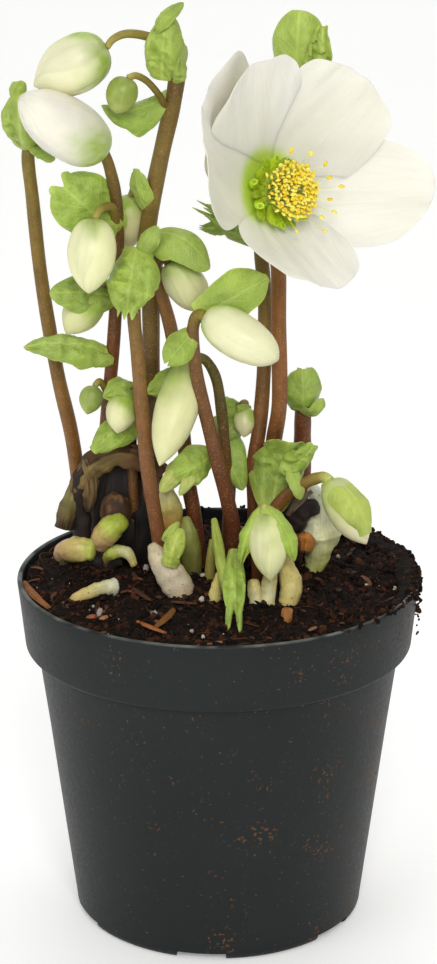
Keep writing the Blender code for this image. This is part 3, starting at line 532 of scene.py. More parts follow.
def flowing(points, per_span):
    """Points on a smooth curve through the given ones: in each span, a cubic with slopes shared at its ends."""
    given = np.array(points, float)
    ends = np.concatenate([[2 * given[0] - given[1]], given, [2 * given[-1] - given[-2]]])
    before, start, end, after = (ends[k:len(ends) - 3 + k, None] for k in range(4))
    t = (np.arange(per_span) / per_span)[None, :, None]
    curve = 0.5 * (2 * start + (end - before) * t + (2 * before - 5 * start + 4 * end - after) * t ** 2
                   + (3 * start - before - 3 * end + after) * t ** 3)
    return np.concatenate([curve.reshape(-1, 3), given[-1:]])


def axes_of(line):
    """For each point of a line: the way on, and two directions square to it."""
    way = unit(np.gradient(line, axis=0))
    flattest = np.linalg.svd(line - line.mean(0), full_matrices=True)[2][-1]
    side = unit(np.cross(flattest, way))
    return way, side, np.cross(way, side)


def tube(line, radii, sides, ripple=None, blunt=0.5):
    """Rings along a line: place + radius * (cos * side + sin * up), closed by domes; blunt is a dome's height."""
    steps = np.linspace(0, 1, len(line))
    radius = np.interp(steps, np.linspace(0, 1, len(radii)), radii)
    way, side, up = axes_of(line)
    bend = np.radians([90, 62, 34])[::-1]
    lift, shrink = np.sin(bend) * blunt, np.cos(bend) + 0.02
    place = np.concatenate([line[0] - way[0] * (radius[0] * lift[::-1])[:, None], line,
                            line[-1] + way[-1] * (radius[-1] * lift)[:, None]])
    size = np.concatenate([radius[0] * shrink[::-1], radius, radius[-1] * shrink])
    along = np.concatenate([np.zeros(3), steps, np.ones(3)])
    side = np.concatenate([np.repeat(side[:1], 3, 0), side, np.repeat(side[-1:], 3, 0)])
    up = np.concatenate([np.repeat(up[:1], 3, 0), up, np.repeat(up[-1:], 3, 0)])
    around = np.arange(sides) / sides
    turn = around * math.tau
    spread = side[:, None] * np.cos(turn)[None, :, None] + up[:, None] * np.sin(turn)[None, :, None]
    u, v = np.meshgrid(along, around, indexing="ij")
    swell = np.ones_like(u) if ripple is None else ripple(u, v)
    rings = place[:, None] + spread * (size[:, None] * swell)[..., None]
    return rings, u, v


def waved_flow(u, v):
    """The flow of a round piece: along, and across as a wave, so that nothing jumps where the ring closes."""
    return np.stack([u, np.cos(v * math.tau), np.sin(v * math.tau)], -1)


# %% [markdown]
# The leaves on a flower stalk are bracts: thin, pale and crinkled, cupped across and bowed along. A bract's
# outline swells from a narrow base like a sine and closes at its tip, and noise and a wave near the margin
# give it the crinkle. Some are torn or toothed at the tip, others wrap a bud like a hood.

# %% Bracts
BRACT_THICKNESS = 0.45
PALE = rgb(150, 176, 84)
FRESH = rgb(128, 162, 48)
DEEP = rgb(102, 136, 44)
SHADE = rgb(84, 112, 42)
BASE_GREEN = rgb(186, 200, 108)
MARGIN = rgb(196, 212, 124)
UNDERSIDE = rgb(158, 182, 100)


def bract(root, tip, facing, width, curl, arch, green=FRESH, crumple=0.5, teeth=0.0, fork=0.0, end=0.0, foot=0.0,
          hook=0.0, blunt=0.0, lip=0.3, seed=1):
    """A leaf over t from root to tip and s from side to side. Its half-width swells as a sine of t^(1 + blunt)
    and is held open at the tip by end and at the root by foot; teeth and fork cut the end edge. The sheet is an
    arc of the curl's angle across and a bow of the arch along; the hook bends its last third, the lip waves its
    margin, and pleats and folded noise crumple it."""
    root, tip = np.array(root, float), np.array(tip, float)
    along = tip - root
    side = unit(np.cross(along, np.array(facing, float)))
    out = unit(np.cross(side, along))
    rows, columns = (34, 27) if width > 8.5 else (24, 19)
    t, s = np.meshgrid(np.linspace(0, 1, rows) ** 0.85, np.linspace(-1, 1, columns), indexing="ij")
    swell = np.sin(math.pi * np.minimum(1, 0.06 + 0.94 * t ** (1 + blunt))) ** (0.62 - 0.2 * blunt)
    open_ends = np.maximum(end * step(t, 0.3, 0.9), foot * step(t, 0.7, 0.1))
    half = 0.5 * width * np.maximum(0.10 * (1 - t) + 0.02 + 0.90 * swell, open_ends)
    half = half * (1 + 0.07 * cloud(np.stack([t * 3, np.sign(s) * 2, s * 0 + seed], -1), 2, seed))
    saw = 0.5 * np.sin(23 * t + 1.7 * seed + 2 * np.sign(s)) + 0.5 * np.sin(41 * t + seed)
    half = half * (1 + 0.08 * teeth * saw * step(t, 0.3, 0.7) * np.abs(s))
    reach = t + (0.07 * teeth * np.cos(9.4 * s + seed) - fork * np.exp(-(s / 0.33) ** 2)) * t ** 5
    reach = reach - 0.16 * end * s ** 4 * t ** 6 + 0.10 * foot * s ** 4 * (1 - t) ** 6
    bend = math.radians(curl)
    across = half * np.sin(bend * s) / bend
    fold = half * (1 - np.cos(bend * s)) / bend
    bow = arch * 4 * t * (1 - t) + hook * step(t, 0.55, 1.0) ** 1.5
    wave = 0.07 * width * s * np.abs(s) * np.sin(9 * t + 2 * s) * np.sin(math.pi * t)
    ruffle = lip * np.abs(s) ** 3 * np.sin(21 * t + 3 * s + seed) * np.sin(math.pi * t)
    flat = root + along * reach[..., None] + side * across[..., None]
    creases = 0.45 - np.abs(noise(flat * 0.33 + seed, seed)) - 0.5 * np.abs(noise(flat * 0.75, seed + 1))
    pleats = 0.05 * width * np.sin(6.8 * s + 2.2 * noise(flat * 0.10, seed + 3)) * np.sin(math.pi * t) ** 0.5
    uneven = crumple * (0.7 * noise(flat * 0.17, seed + 5) + 1.1 * creases + 0.55 * pleats) * step(t, 0.0, 0.15)
    groove = -0.22 * np.exp(-(s / 0.10) ** 2) * (1 - t)
    sheet = flat + out * (bow - fold + wave + ruffle + uneven + groove)[..., None]
    patch = 0.5 + 0.5 * cloud(flat * 0.15, 2, seed + 7)
    tint = mix(green * 0.80, green * np.array([1.18, 1.10, 0.95]), patch)
    # Sunken crease lines and the inward side of each pleat are darkened: painted shade in the folds.
    tint = mix(tint, tint * 0.70, 0.7 * step(creases, -0.02, -0.4) * min(1.0, crumple))
    tint = mix(tint, tint * 0.84, step(-pleats, 0.0, 0.05 * width) * min(1.0, crumple))
    tint = mix(tint, BASE_GREEN, 0.75 * step(t, 0.30, 0.0))
    tint = mix(tint, MARGIN, 0.60 * step(np.maximum(np.abs(s), t), 0.90, 1.0))
    return shell(sheet, BRACT_THICKNESS, tint, mix(tint, UNDERSIDE, np.full_like(t, 0.55)), t, s, finish=1)


# %% [markdown]
# The stalks are brown, nearly red at the soil and more olive where they are young. Each has its own colours,
# read along its route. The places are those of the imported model: right, back and up from the pot's underside.
# A stalk's bracts follow it in the same piece, since they grow from it.

# %% Stalk routes and colours
FOOT_RED = rgb(78, 34, 16)
WARM_BROWN = rgb(118, 80, 36)
OLIVE = rgb(126, 116, 40)
OLIVE_BROWN = rgb(112, 92, 36)
RUST = rgb(102, 56, 26)
DUSK = rgb(92, 70, 32)

STALKS = {
    "stalk_far_left": {
        "route": [(-41, 23, 94), (-41.5, 21, 116), (-44, 17, 143), (-48, 14, 165), (-52, 12, 194),
                  (-54, 10, 219), (-55, 10.5, 232), (-53, 13, 238)],
        "radii": (2.4, 1.8), "colours": (RUST, WARM_BROWN, OLIVE_BROWN, OLIVE),
        "bracts": [
            ((-55.0, 9, 233.5), (-56.6, 4, 252.0), (-0.1, -1, 0), 18.5, 80, 5.5,
             dict(green=PALE, crumple=1.7, end=0.25, foot=0.3, lip=0.6)),
            ((-58.8, 5, 249.5), (-55.2, 2.5, 254.4), (-0.1, -1, 0), 6, 60, 1, dict(green=PALE, seed=44, crumple=1.0)),
            ((-54, 8, 236), (-47, 2, 231.5), (0.1, -0.8, 0.8), 6.5, 50, 1, dict(green=PALE, seed=2)),
        ],
    },
    "stalk_two_buds": {
        "route": [(-35, 26, 94), (-35, 24.5, 118), (-34.5, 19.5, 136), (-33, 13.5, 155), (-31, 10, 176),
                  (-29.5, 7, 199), (-29.3, 4, 218), (-31, 0.8, 229.5), (-32.6, -1.5, 234.8)],
        "radii": (2.4, 1.6), "colours": (FOOT_RED, RUST, RUST, DUSK, OLIVE_BROWN),
        "branches": [
            ([(-29.8, 4, 212), (-30.5, 0, 218.5), (-33.5, -4, 219), (-35.2, -6.5, 217)], 1.6),
            ([(-30.5, 8, 190), (-33, 7, 194.5), (-35, 6, 193)], 1.2),
            ([(-32.5, 12, 158), (-35, 10, 163.5), (-36.6, 9, 162.6)], 1.0),
        ],
        "bracts": [
            ((-28.6, 4.5, 209.5), (-46.6, -1, 227), (-0.1, -1, 0.3), 20.5, 35, 3,
             dict(green=FRESH, seed=4, crumple=1.1, blunt=0.45, fork=0.12, end=0.42)),
            ((-30.5, 7, 190), (-49, -1, 193.5), (0, -1, 0.55), 14, 60, 3.5, dict(green=DEEP, seed=5, crumple=0.9)),
            ((-31, 9.5, 172), (-56, 3, 176.5), (0, -0.8, 0.9), 13.5, 75, 3.5,
             dict(green=rgb(128, 160, 78), seed=6, crumple=1.2, teeth=0.5, lip=0.8)),
        ],
    },
    "stalk_tall": {
        "route": [(-20, 15, 94), (-20.5, 13.5, 132), (-20, 11, 167), (-20, 9, 189), (-21, 7, 205),
                  (-19, 5, 220), (-16, 2.5, 235), (-13, 1, 248), (-11.5, 0, 257)],
        "radii": (2.7, 2.4), "colours": (RUST, DUSK, OLIVE_BROWN, OLIVE_BROWN, DUSK),
        "branches": [
            ([(-12, 0.8, 252), (-13.5, 1.5, 260.5), (-17, 1, 266), (-21, 0, 268), (-26, -1.5, 268.7),
              (-29.5, -3, 267.5), (-31.2, -4, 265.5)], 1.6),
            ([(-14.5, 1, 247), (-17, -3, 252), (-20, -5.5, 256), (-23, -7.6, 258),
              (-25.2, -8.4, 257.6)], 1.0),
            ([(-19, 5, 219), (-21.5, 7.5, 224), (-24, 9.8, 223), (-25.4, 10.6, 219.8)], 1.1),
        ],
        "bracts": [
            ((-15.8, -1.5, 255.6), (-14.4, -5, 275.0), (-0.1, -1, 0.1), 22, 100, 2.5,
             dict(green=PALE, seed=8, crumple=2.0, blunt=-0.3, end=0.34, foot=0.70)),
            ((-17.4, -4, 270.0), (-9.6, -6.5, 278.2), (-0.2, -1, 0.5), 6, 60, 2.2,
             dict(green=PALE, seed=38, crumple=1.0)),
            ((-11.2, -2, 255), (-10.8, -4.5, 263.0), (0.5, -1, 0), 7, 90, 2,
             dict(green=PALE, seed=39, crumple=1.2, foot=0.6)),
            ((-14, 0.5, 251.5), (-33.0, -5, 249), (0, -0.68, 0.80), 15.5, 85, -4.5,
             dict(green=DEEP, seed=9, crumple=0.6, foot=0.55)),
            ((-19.8, 5, 215), (-23.8, 2, 229.5), (-0.5, -1, 0), 7.5, 40, 1.5,
             dict(green=PALE, seed=10, blunt=0.3, end=0.3)),
        ],
    },
    "stalk_centre_left": {
        "route": [(-16, -4, 94), (-16.7, -4.5, 112), (-20.4, -6, 138), (-22.2, -6.5, 157), (-23.3, -6, 175),
                  (-24.4, -5, 189), (-23.4, -3.5, 204)],
        "radii": (2.3, 1.9), "colours": (rgb(110, 56, 34), rgb(116, 70, 40), rgb(120, 82, 42), rgb(118, 90, 42), OLIVE_BROWN),
        "bracts": [
            ((-23.2, -4, 207.8), (-26.4, -12.5, 190.0), (-0.1, -1, 0.5), 19, 65, 3.5,
             dict(green=FRESH, seed=11, teeth=0.8, crumple=1.9, end=0.36, foot=0.62)),
            ((-22.4, -4, 205.5), (-17.2, -7.5, 214.8), (-0.2, -1, 0), 7, 45, 1, dict(green=rgb(136, 160, 88), seed=12)),
        ],
    },
    "stalk_shaded": {
        "route": [(-5, 8.5, 94), (-7, 7.5, 120), (-9, 8, 133), (-10.5, 8.5, 149), (-12, 8, 167),
                  (-14, 6, 181), (-17, 5, 193), (-18, 3.4, 200),
                  (-17, 1.5, 203), (-15.4, 0.2, 203.8), (-14.4, -0.2, 202.8)],
        "radii": (2.4, 1.6), "colours": (FOOT_RED, RUST, WARM_BROWN, WARM_BROWN, DUSK),
        "bracts": [
            ((-19.0, 2, 210.5), (-2.6, -6, 201.8), (0.25, -0.8, 0.9), 17, 80, 6,
             dict(green=rgb(122, 148, 72), seed=13, crumple=0.4)),
        ],
    },
    "stalk_fore": {
        "route": [(4.5, 0, 94), (4.5, -1, 118), (3, -3, 129), (0, -5, 142), (-3, -6, 155), (-6, -7, 169),
                  (-7.4, -8, 181), (-7.0, -9.2, 187), (-5.8, -10.2, 189.5), (-4.2, -11.2, 189.6)],
        "radii": (2.4, 1.6), "colours": (FOOT_RED, rgb(92, 46, 26), rgb(104, 66, 34), rgb(104, 78, 34), OLIVE),
        "bracts": [
            ((-6.2, -8.6, 188.8), (14.2, -6, 199.5), (0, -1, 0.1), 14.5, 25, 1.5,
             dict(green=rgb(128, 160, 46), seed=14, crumple=0.6, blunt=0.5, end=0.24)),
            ((-7.6, -8.6, 184), (-15.2, -12, 175), (-0.2, -1, 0.1), 10.5, 45, 1.5,
             dict(green=FRESH, seed=15, blunt=0.2, fork=0.12, end=0.2)),
        ],
    },
    "stalk_arching": {
        "route": [(5.5, 8, 94), (4.8, 8, 114), (3, 6.8, 127), (1.8, 4.6, 144), (1, 3.3, 155),
                  (-0.5, 2.5, 166), (-3.2, 3.2, 171.5), (-6, 3.2, 173), (-8.1, 2.2, 172)],
        "radii": (2.1, 1.3), "colours": (FOOT_RED, RUST, rgb(80, 64, 26), rgb(84, 82, 30), OLIVE),
        "bracts": [
            ((-2.2, 3, 143.5), (-13.5, -5.5, 139), (0.2, -1, 0.2), 14, 60, 4,
             dict(green=rgb(140, 176, 56), seed=16, crumple=0.9, blunt=0.2)),
            ((-9.5, 0, 143), (-17.2, -7, 134.5), (0.1, -1, 0.2), 8, 70, 2,
             dict(green=rgb(206, 212, 150), seed=17, crumple=0.8)),
            ((-6, -1, 142), (-11.6, -8, 134), (0.3, -1, 0.2), 5, 60, 1.5,
             dict(green=rgb(214, 220, 164), seed=37, crumple=0.6)),
            ((-9, 3.2, 168), (-20.4, 0.5, 163), (-0.2, -1, 0.4), 11, 60, 2,
             dict(green=FRESH, seed=36, crumple=0.6, teeth=0.8)),
        ],
    },
    "stalk_bloom": {
        "route": [(12.5, 15, 94), (13, 13, 119), (15, 9.5, 133), (16.5, 5, 147), (18, 2, 160),
                  (17.6, 1.6, 182), (17.2, 4, 202), (14, 9.5, 213), (11.5, 9, 219.5), (10.6, 5, 223)],
        "radii": (2.5, 2.1), "colours": (FOOT_RED, rgb(92, 52, 24), rgb(122, 76, 32), rgb(132, 86, 36), rgb(122, 88, 36)),
        "bracts": [
            ((15, 8.5, 206), (-5.6, 5.5, 217.6), (0, -1, 0.3), 9.5, 50, 2,
             dict(green=SHADE, seed=18, teeth=1.2, crumple=1.6, end=0.4, fork=0.15)),
            ((6, 7, 211), (-5.0, 5, 211.6), (0, -1, 0), 5.5, 50, 1,
             dict(green=SHADE, seed=19, teeth=1.2, crumple=1.2, end=0.3)),
        ],
    },
    "stalk_behind_bloom": {
        "route": [(11.5, 7, 94), (10.8, 7, 125), (10.5, 6.8, 138), (12.1, 7.2, 150), (13.1, 7.5, 162),
                  (13.6, 7.8, 174), (13.6, 9.5, 190), (12.4, 16, 206), (14, 21, 220), (19, 22, 236), (24, 21, 251)],
        "radii": (2.3, 2.0), "colours": (FOOT_RED, RUST, WARM_BROWN, OLIVE_BROWN, OLIVE_BROWN, OLIVE),
        "bracts": [
            ((23.6, 21, 246), (23.4, 15.5, 272.5), (-0.2, -1, 0.1), 22, 70, 5,
             dict(green=rgb(158, 184, 92), seed=20, crumple=0.8, blunt=0.45)),
            ((25.6, 17, 249), (30.2, 11.5, 268.5), (0.3, -1, 0.1), 12.5, 85, 3.5,
             dict(green=rgb(158, 186, 84), seed=35, crumple=2.6, end=0.45, lip=0.8)),
        ],
    },
    "stalk_right_short": {
        "route": [(21, 19, 94), (23, 17.5, 113), (25, 15.5, 133), (25.2, 14.3, 146), (25.3, 13.6, 158)],
        "radii": (3.2, 2.4), "colours": (FOOT_RED, rgb(92, 46, 26), rgb(102, 56, 30)),
        "bracts": [
            ((25.4, 14.5, 152.5), (24.8, 6.5, 168.5), (0, -1, 0.2), 17, 80, 4.5,
             dict(green=rgb(122, 154, 62), seed=21, crumple=0.8, blunt=0.3, end=0.25)),
            ((25.5, 13.5, 153), (30.5, 5, 160), (0.5, -1, 0.2), 8, 70, 3, dict(green=PALE, seed=22)),
        ],
    },
    "stalk_right_low": {
        "route": [(15.5, 0, 94), (15, 0, 110), (15.5, -1.5, 124), (19.5, -3.5, 132), (25.5, -5, 137),
                  (29.2, -6, 138.8), (31.2, -7.2, 139.4), (32.6, -8.0, 138.8)],
        "radii": (2.3, 1.5), "colours": (FOOT_RED, RUST, rgb(112, 78, 34), rgb(146, 128, 56), BASE_GREEN),
        "bracts": [
            ((15.8, -1.2, 126.5), (20.5, -3.5, 150.5), (0.12, -1, 0.2), 19, 55, -3.5,
             dict(green=rgb(104, 134, 44), seed=23, lip=1.1, end=0.75, crumple=1.2, hook=3.0)),
            ((19, -3, 139), (28, -6.5, 149), (0.2, -1, 0.2), 9, 60, 1.5,
             dict(green=FRESH, seed=34, lip=0.5, end=0.5, crumple=1.4)),
            ((32.4, -8, 139), (42.6, -16.4, 124.0), (0.55, -1, 0.50), 15.5, 75, 6.9,
             dict(green=rgb(184, 200, 112), seed=42, crumple=0.5, hook=2.6, end=0.42, foot=0.35)),
            ((21.5, -3, 141), (24, -7.5, 132.5), (0.5, -1, 0.3), 6, 50, 1.5,
             dict(green=rgb(176, 202, 108), seed=33, crumple=0.5)),
        ],
    },
    "stalk_front_low": {
        "route": [(12.5, -9, 94), (12, -10, 108), (11.5, -11, 119), (12, -13.5, 127.5), (12.6, -15.8, 132),
                  (13.4, -18, 133.4), (13.9, -19.4, 132.6)],
        "radii": (2.2, 1.3), "colours": (FOOT_RED, rgb(120, 74, 36), rgb(150, 140, 70), BASE_GREEN),
        "bracts": [
            ((13, -18, 133.8), (6.8, -22.5, 119.5), (-0.5, -1, 0.3), 8.5, 75, 3,
             dict(green=rgb(146, 184, 58), seed=25, teeth=1.4, end=0.3)),
            ((14, -19.5, 134.3), (21.8, -24.5, 120), (0.45, -1, 0.5), 9.5, 70, 4,
             dict(green=rgb(150, 190, 60), seed=26, teeth=0.5, lip=0.5)),
        ],
    },
    "stalk_back_left": {
        "route": [(-25.5, 13.5, 94), (-25.5, 13.5, 120), (-26, 13, 141), (-25.4, 8.5, 153), (-25, 5, 159.5),
                  (-25.2, 2.2, 163), (-26.2, 0.2, 163.8), (-27.4, -1.2, 162.8)],
        "radii": (1.7, 1.1), "colours": (RUST, DUSK, OLIVE),
        "bracts": [
            ((-23.4, 6, 161.5), (-33.4, -3, 162.5), (-0.2, -0.8, 0.7), 12, 60, 4,
             dict(green=FRESH, seed=27, crumple=0.8, teeth=0.8)),
            ((-23.4, 7, 153.5), (-37.4, -1, 145.5), (0, -1, 0.6), 12, 60, 3.5, dict(green=FRESH, seed=28, crumple=1.2, end=0.3)),
        ],
    },
    "stalk_back_right": {
        "route": [(2, 15, 94), (3, 15, 120), (4.5, 15, 141), (6.2, 14, 151), (7.2, 12.4, 155.4),
                  (7.8, 10.6, 156.4), (8.0, 9.4, 155.8)],
        "radii": (1.9, 1.2), "colours": (RUST, DUSK, OLIVE),
        "bracts": [
            ((7.0, 14, 153), (-0.6, 8.5, 157.2), (-0.3, -0.8, 0.7), 8, 60, 2, dict(green=DEEP, seed=29, crumple=1.0)),
            ((6.6, 13, 152), (0.8, 6.5, 146.5), (0, -1, 0.3), 8.5, 60, 2, dict(green=SHADE, seed=47, crumple=0.8)),
            ((-0.6, 13, 152), (7.2, 4, 131.5), (-0.2, -1, 0.1), 12.5, 70, 2.5,
             dict(green=rgb(116, 150, 60), seed=30, crumple=0.5)),
            ((9.4, 12, 152), (5.5, 6, 157), (0.2, -1, 0.4), 6, 60, 2, dict(green=FRESH, seed=40, crumple=1.0)),
        ],
    },
    "leaf_front": {
        "route": [(-2.5, -5, 94), (-2.5, -5.5, 110), (-1.5, -6, 119)],
        "radii": (1.8, 1.3), "colours": (rgb(140, 110, 56), rgb(176, 180, 90)),
        "bracts": [
            ((-1.4, -5.5, 126), (3.0, -30, 107.5), (-0.3, -0.2, 1), 4.6, 80, 1.5,
             dict(green=rgb(158, 166, 76), seed=45, crumple=0.8, foot=0.5)),
            ((4.6, -14, 119.5), (4.4, -42, 104.6), (0.05, -0.2, 1), 8.8, 70, 2.5,
             dict(green=rgb(140, 178, 72), seed=31, fork=0.24, end=0.72, crumple=1.9)),
        ],
    },
    "shoot_sheath": {
        "route": [(-10.5, -13, 101), (-11.5, -13, 106), (-14.2, -12.4, 111), (-17.5, -11.6, 116), (-19.5, -11.2, 119.5)],
        "radii": (3.4, 4.6, 4.5, 3.4, 1.5), "colours": (rgb(150, 104, 60), rgb(200, 186, 158), rgb(206, 194, 168), rgb(200, 188, 150)),
        "bracts": [
            ((-11.4, -13.6, 125.8), (-14.6, -17.6, 115.2), (-0.1, -1, 0.3), 8.6, 80, 1.6,
             dict(green=rgb(186, 204, 96), seed=32, end=0.88, foot=0.4, crumple=1.0)),
            ((-16.2, -12.6, 121.5), (-11.6, -13.2, 127.6), (-0.2, -1, 0.2), 4.4, 90, 1.5,
             dict(green=rgb(190, 208, 104), seed=41, crumple=0.6)),
        ],
    },
}


def stalk(plan):
    """The parts of one stalk: its stem with slight swellings spaced evenly along it, its branches and its bracts."""
    line = flowing(plan["route"], 9)
    colours = [(k / (len(plan["colours"]) - 1), c) for k, c in enumerate(plan["colours"])]
    rings, u, v = tube(line, plan["radii"], 20, lambda u, v: 1 + 0.025 * np.sin(3 * math.tau * v + 4 * u)
                       + 0.02 * np.sin(40 * u))
    tint = ramp(u, colours)
    parts = [closed(rings, tint, waved_flow(u * 6, v))]
    for route, radius in plan.get("branches", []):
        rings, u, v = tube(flowing(route, 8), (radius, 1.0), 14)
        tint = ramp(u, [(0, colours[-1][1]), (0.6, OLIVE), (1, rgb(170, 160, 84))])
        parts.append(closed(rings, tint, waved_flow(u * 2, v)))
    for leaf in plan["bracts"]:
        parts.append(bract(*leaf[:6], **leaf[6]))
    return parts


for name, plan in STALKS.items():
    skin = shoot_skin if name.startswith("shoot") else stem_skin
    piece(name + "_grown", stalk(plan), [skin, leaf_skin], [name])

# %% [markdown]
# A closed bud is an egg drawn to a point, wrapped by broad sepals that overlap like roof tiles. A smooth egg
# fills it, and three sepals lie on the egg, each a little further out than the last, so that their margins
# show as fine edges from neck to tip. Green at the neck fades into cream.

# %% Buds
NECK_GREEN = rgb(146, 174, 62)
BUDS = {
    "bud_far_left": ("stalk_far_left", None, (-48, 17, 246), 8, dict(green=0.9, cream=rgb(186, 196, 120))),
    "bud_upper_white": ("stalk_tall", 0, (-52, -4.5, 254.5), 16.5, dict(green=0.40, cream=rgb(232, 229, 184))),
    "bud_small_green": ("stalk_tall", 1, (-28.9, -10, 248), 8.4, dict(pointed=0.6, green=0.95, leafy=rgb(132, 150, 62), cream=rgb(176, 180, 104))),
    "bud_behind_tall": ("stalk_tall", 2, (-27.0, 12, 203), 11.2, dict(green=0.5, cream=rgb(206, 200, 148))),
    "bud_lower_white": ("stalk_two_buds", None, (-55.2, -15, 253.4), 17.6, dict(pointed=0.62, green=0.42, cream=rgb(236, 231, 212))),
    "bud_yellow": ("stalk_two_buds", 0, (-37, -12, 196.2), 13.8, dict(pointed=0.75, green=0.18, cream=rgb(232, 232, 176))),
    "bud_low_left": ("stalk_two_buds", 1, (-44.5, 3, 180), 11, dict(green=0.5, cream=rgb(208, 208, 150))),
    "bud_tiny": ("stalk_two_buds", 2, (-38.9, 6, 154.6), 6.4, dict(green=1.0, cream=rgb(170, 184, 90), leafy=rgb(140, 158, 76))),
    "bud_shaded": ("stalk_shaded", None, (-3.8, -0.5, 187.5), 11.5, dict(green=0.34, cream=rgb(200, 198, 146))),
    "bud_fore": ("stalk_fore", None, (17, -19, 178.6), 13.2, dict(pointed=0.5, green=0.30, cream=rgb(234, 232, 184))),
    "bud_long": ("stalk_arching", None, (-17.1, -15.3, 145.5), 12.8, dict(green=0.34, cream=rgb(222, 220, 162))),
    "bud_right": ("stalk_right_low", None, (43.2, -17, 122), 11.6, dict(green=0.5, cream=rgb(222, 216, 172), leafy=rgb(180, 194, 112))),
    "bud_front": ("stalk_front_low", None, (15.2, -27.5, 114.5), 10.8, dict(green=0.30, cream=rgb(228, 228, 168))),
    "bud_back_left": ("stalk_back_left", None, (-29.6, -6, 152.5), 8.5, dict(green=0.5, cream=rgb(220, 218, 164))),
    "bud_back_right": ("stalk_back_right", None, (7.6, 5.5, 147.6), 6.2, dict(green=0.5, cream=rgb(218, 214, 160))),
}
CLEARANCE = 0.35


def bud(before, neck, tip, width, green, cream, seed, leafy=NECK_GREEN, pointed=0.85):
    """An egg from neck to tip and its sepals: radius w/2 sin^0.85(pi t^0.85), pushed out by each sepal's layer."""
    before, neck, tip = (np.array(p, float) for p in (before, neck, tip))
    start = neck + unit(neck - before) * CLEARANCE
    axis = tip - start
    length = np.linalg.norm(axis)
    way = axis / length
    side = unit(np.cross(way, np.array([0.3, 1.0, 0.2])))
    up = np.cross(way, side)

    def surface(t, turn, push):
        egg = np.sin(math.pi * t ** 0.85) ** np.where(t > 0.44, pointed, 0.85)
        radius = width / 2 * egg * 0.955 + push
        height = length * ((1 - t) * (1 - np.cos(math.pi * t)) / 2 + t * t)
        flat = side * np.cos(turn)[..., None] + up * np.sin(turn)[..., None]
        place = start + flat * radius[..., None] + way * height[..., None]
        dents = 0.16 * cloud(place * 0.25, 2, seed) * egg
        return place + flat * dents[..., None]

    def tint_of(t, turn, place):
        edge = green + 0.12 * np.sin(turn * 2 + seed) + 0.10 * cloud(place * 0.2, 2, seed + 3)
        patchy = 0.85 + 0.25 * cloud(place * 0.5, 2, seed + 9)
        return mix(cream, leafy, np.clip(patchy, 0, 1) * step(t, edge + 0.14, edge - 0.26))

    t, v = np.meshgrid(np.linspace(0.012, 0.985, 26), np.arange(30) / 30, indexing="ij")
    turn = v * math.tau
    core = surface(t, turn, np.zeros_like(t))
    parts = [closed(core, tint_of(t, turn, core), waved_flow(t, v))]
    for layer in range(3):
        t, s = np.meshgrid(np.linspace(0.03, 0.998, 26), np.linspace(-1, 1, 23), indexing="ij")
        reach = math.radians(92) * np.sin(math.pi * np.clip(0.22 + 0.74 * t, 0, 1)) ** 0.5
        turn = seed * 0.9 + layer * math.radians(125) + reach * s + 0.35 * t
        margin = np.abs(s) ** 8 * np.sin(math.pi * t) * 0.10
        push = (0.10 + 0.11 * layer + margin) * np.sin(math.pi * t ** 0.8) ** 0.4
        sheet = surface(t, turn, push)[:, ::-1]
        tint = tint_of(t[:, ::-1], turn[:, ::-1], sheet)
        parts.append(shell(sheet, 0.28, tint, tint, t, s[:, ::-1] * 0.8, finish=0))
    return parts


for index, (name, (carrier, branch, tip, width, look)) in enumerate(BUDS.items()):
    plan = STALKS[carrier]
    if branch is None:
        before, neck = plan["route"][-2:]
    else:
        branch_line = flowing(plan["branches"][branch][0], 2)
        before, neck = branch_line[-2:]
    piece(name + "_sepals", bud(before, neck, tip, width, seed=index, **look), [bud_skin], [name])

# %% [markdown]
# The open bloom has its own frame: Z is the way it looks, X is to the right and Y is up. Its five sepals lie
# flat at the base, rise like a cup and end in a broad, softly waved edge. They overlap in a fixed order, so
# each lies in its own layer. Each sepal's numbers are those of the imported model.

# %% Bloom sepals
BLOOM_BASE = (13.0, 1.2, 224.0)
BLOOM_LOOK = (0.59, -0.765, 0.258)
SEPALS = [
    (-11.5, 50, 26, 32, 0, -1, 0.70, 0),
    (42, 42.5, 27, 36, 0, 0, 1.30, 0),
    (114, 43, 31, 42, 0, 1, 0.45, 0),
    (156, 45, 27, 46, -9, 4.5, 0.90, 0.08),
    (268, 39.5, 40, 34, 4, -2, 0.40, 0),
]
LAYER = 0.9
SEPAL_THICKNESS = 0.45
PETAL_WHITE = rgb(230, 228, 218)
PETAL_SHADE = rgb(218, 216, 202)
GLOW_GREEN = rgb(186, 214, 52)

look = unit(np.array(BLOOM_LOOK))
right = unit(np.cross([0, 0, 1], look))
BLOOM_TURN = np.stack([right, np.cross(look, right), look])


def in_bloom(place):
    """Places given in the bloom's own frame, in the whole plant's."""
    return place @ BLOOM_TURN + np.array(BLOOM_BASE)


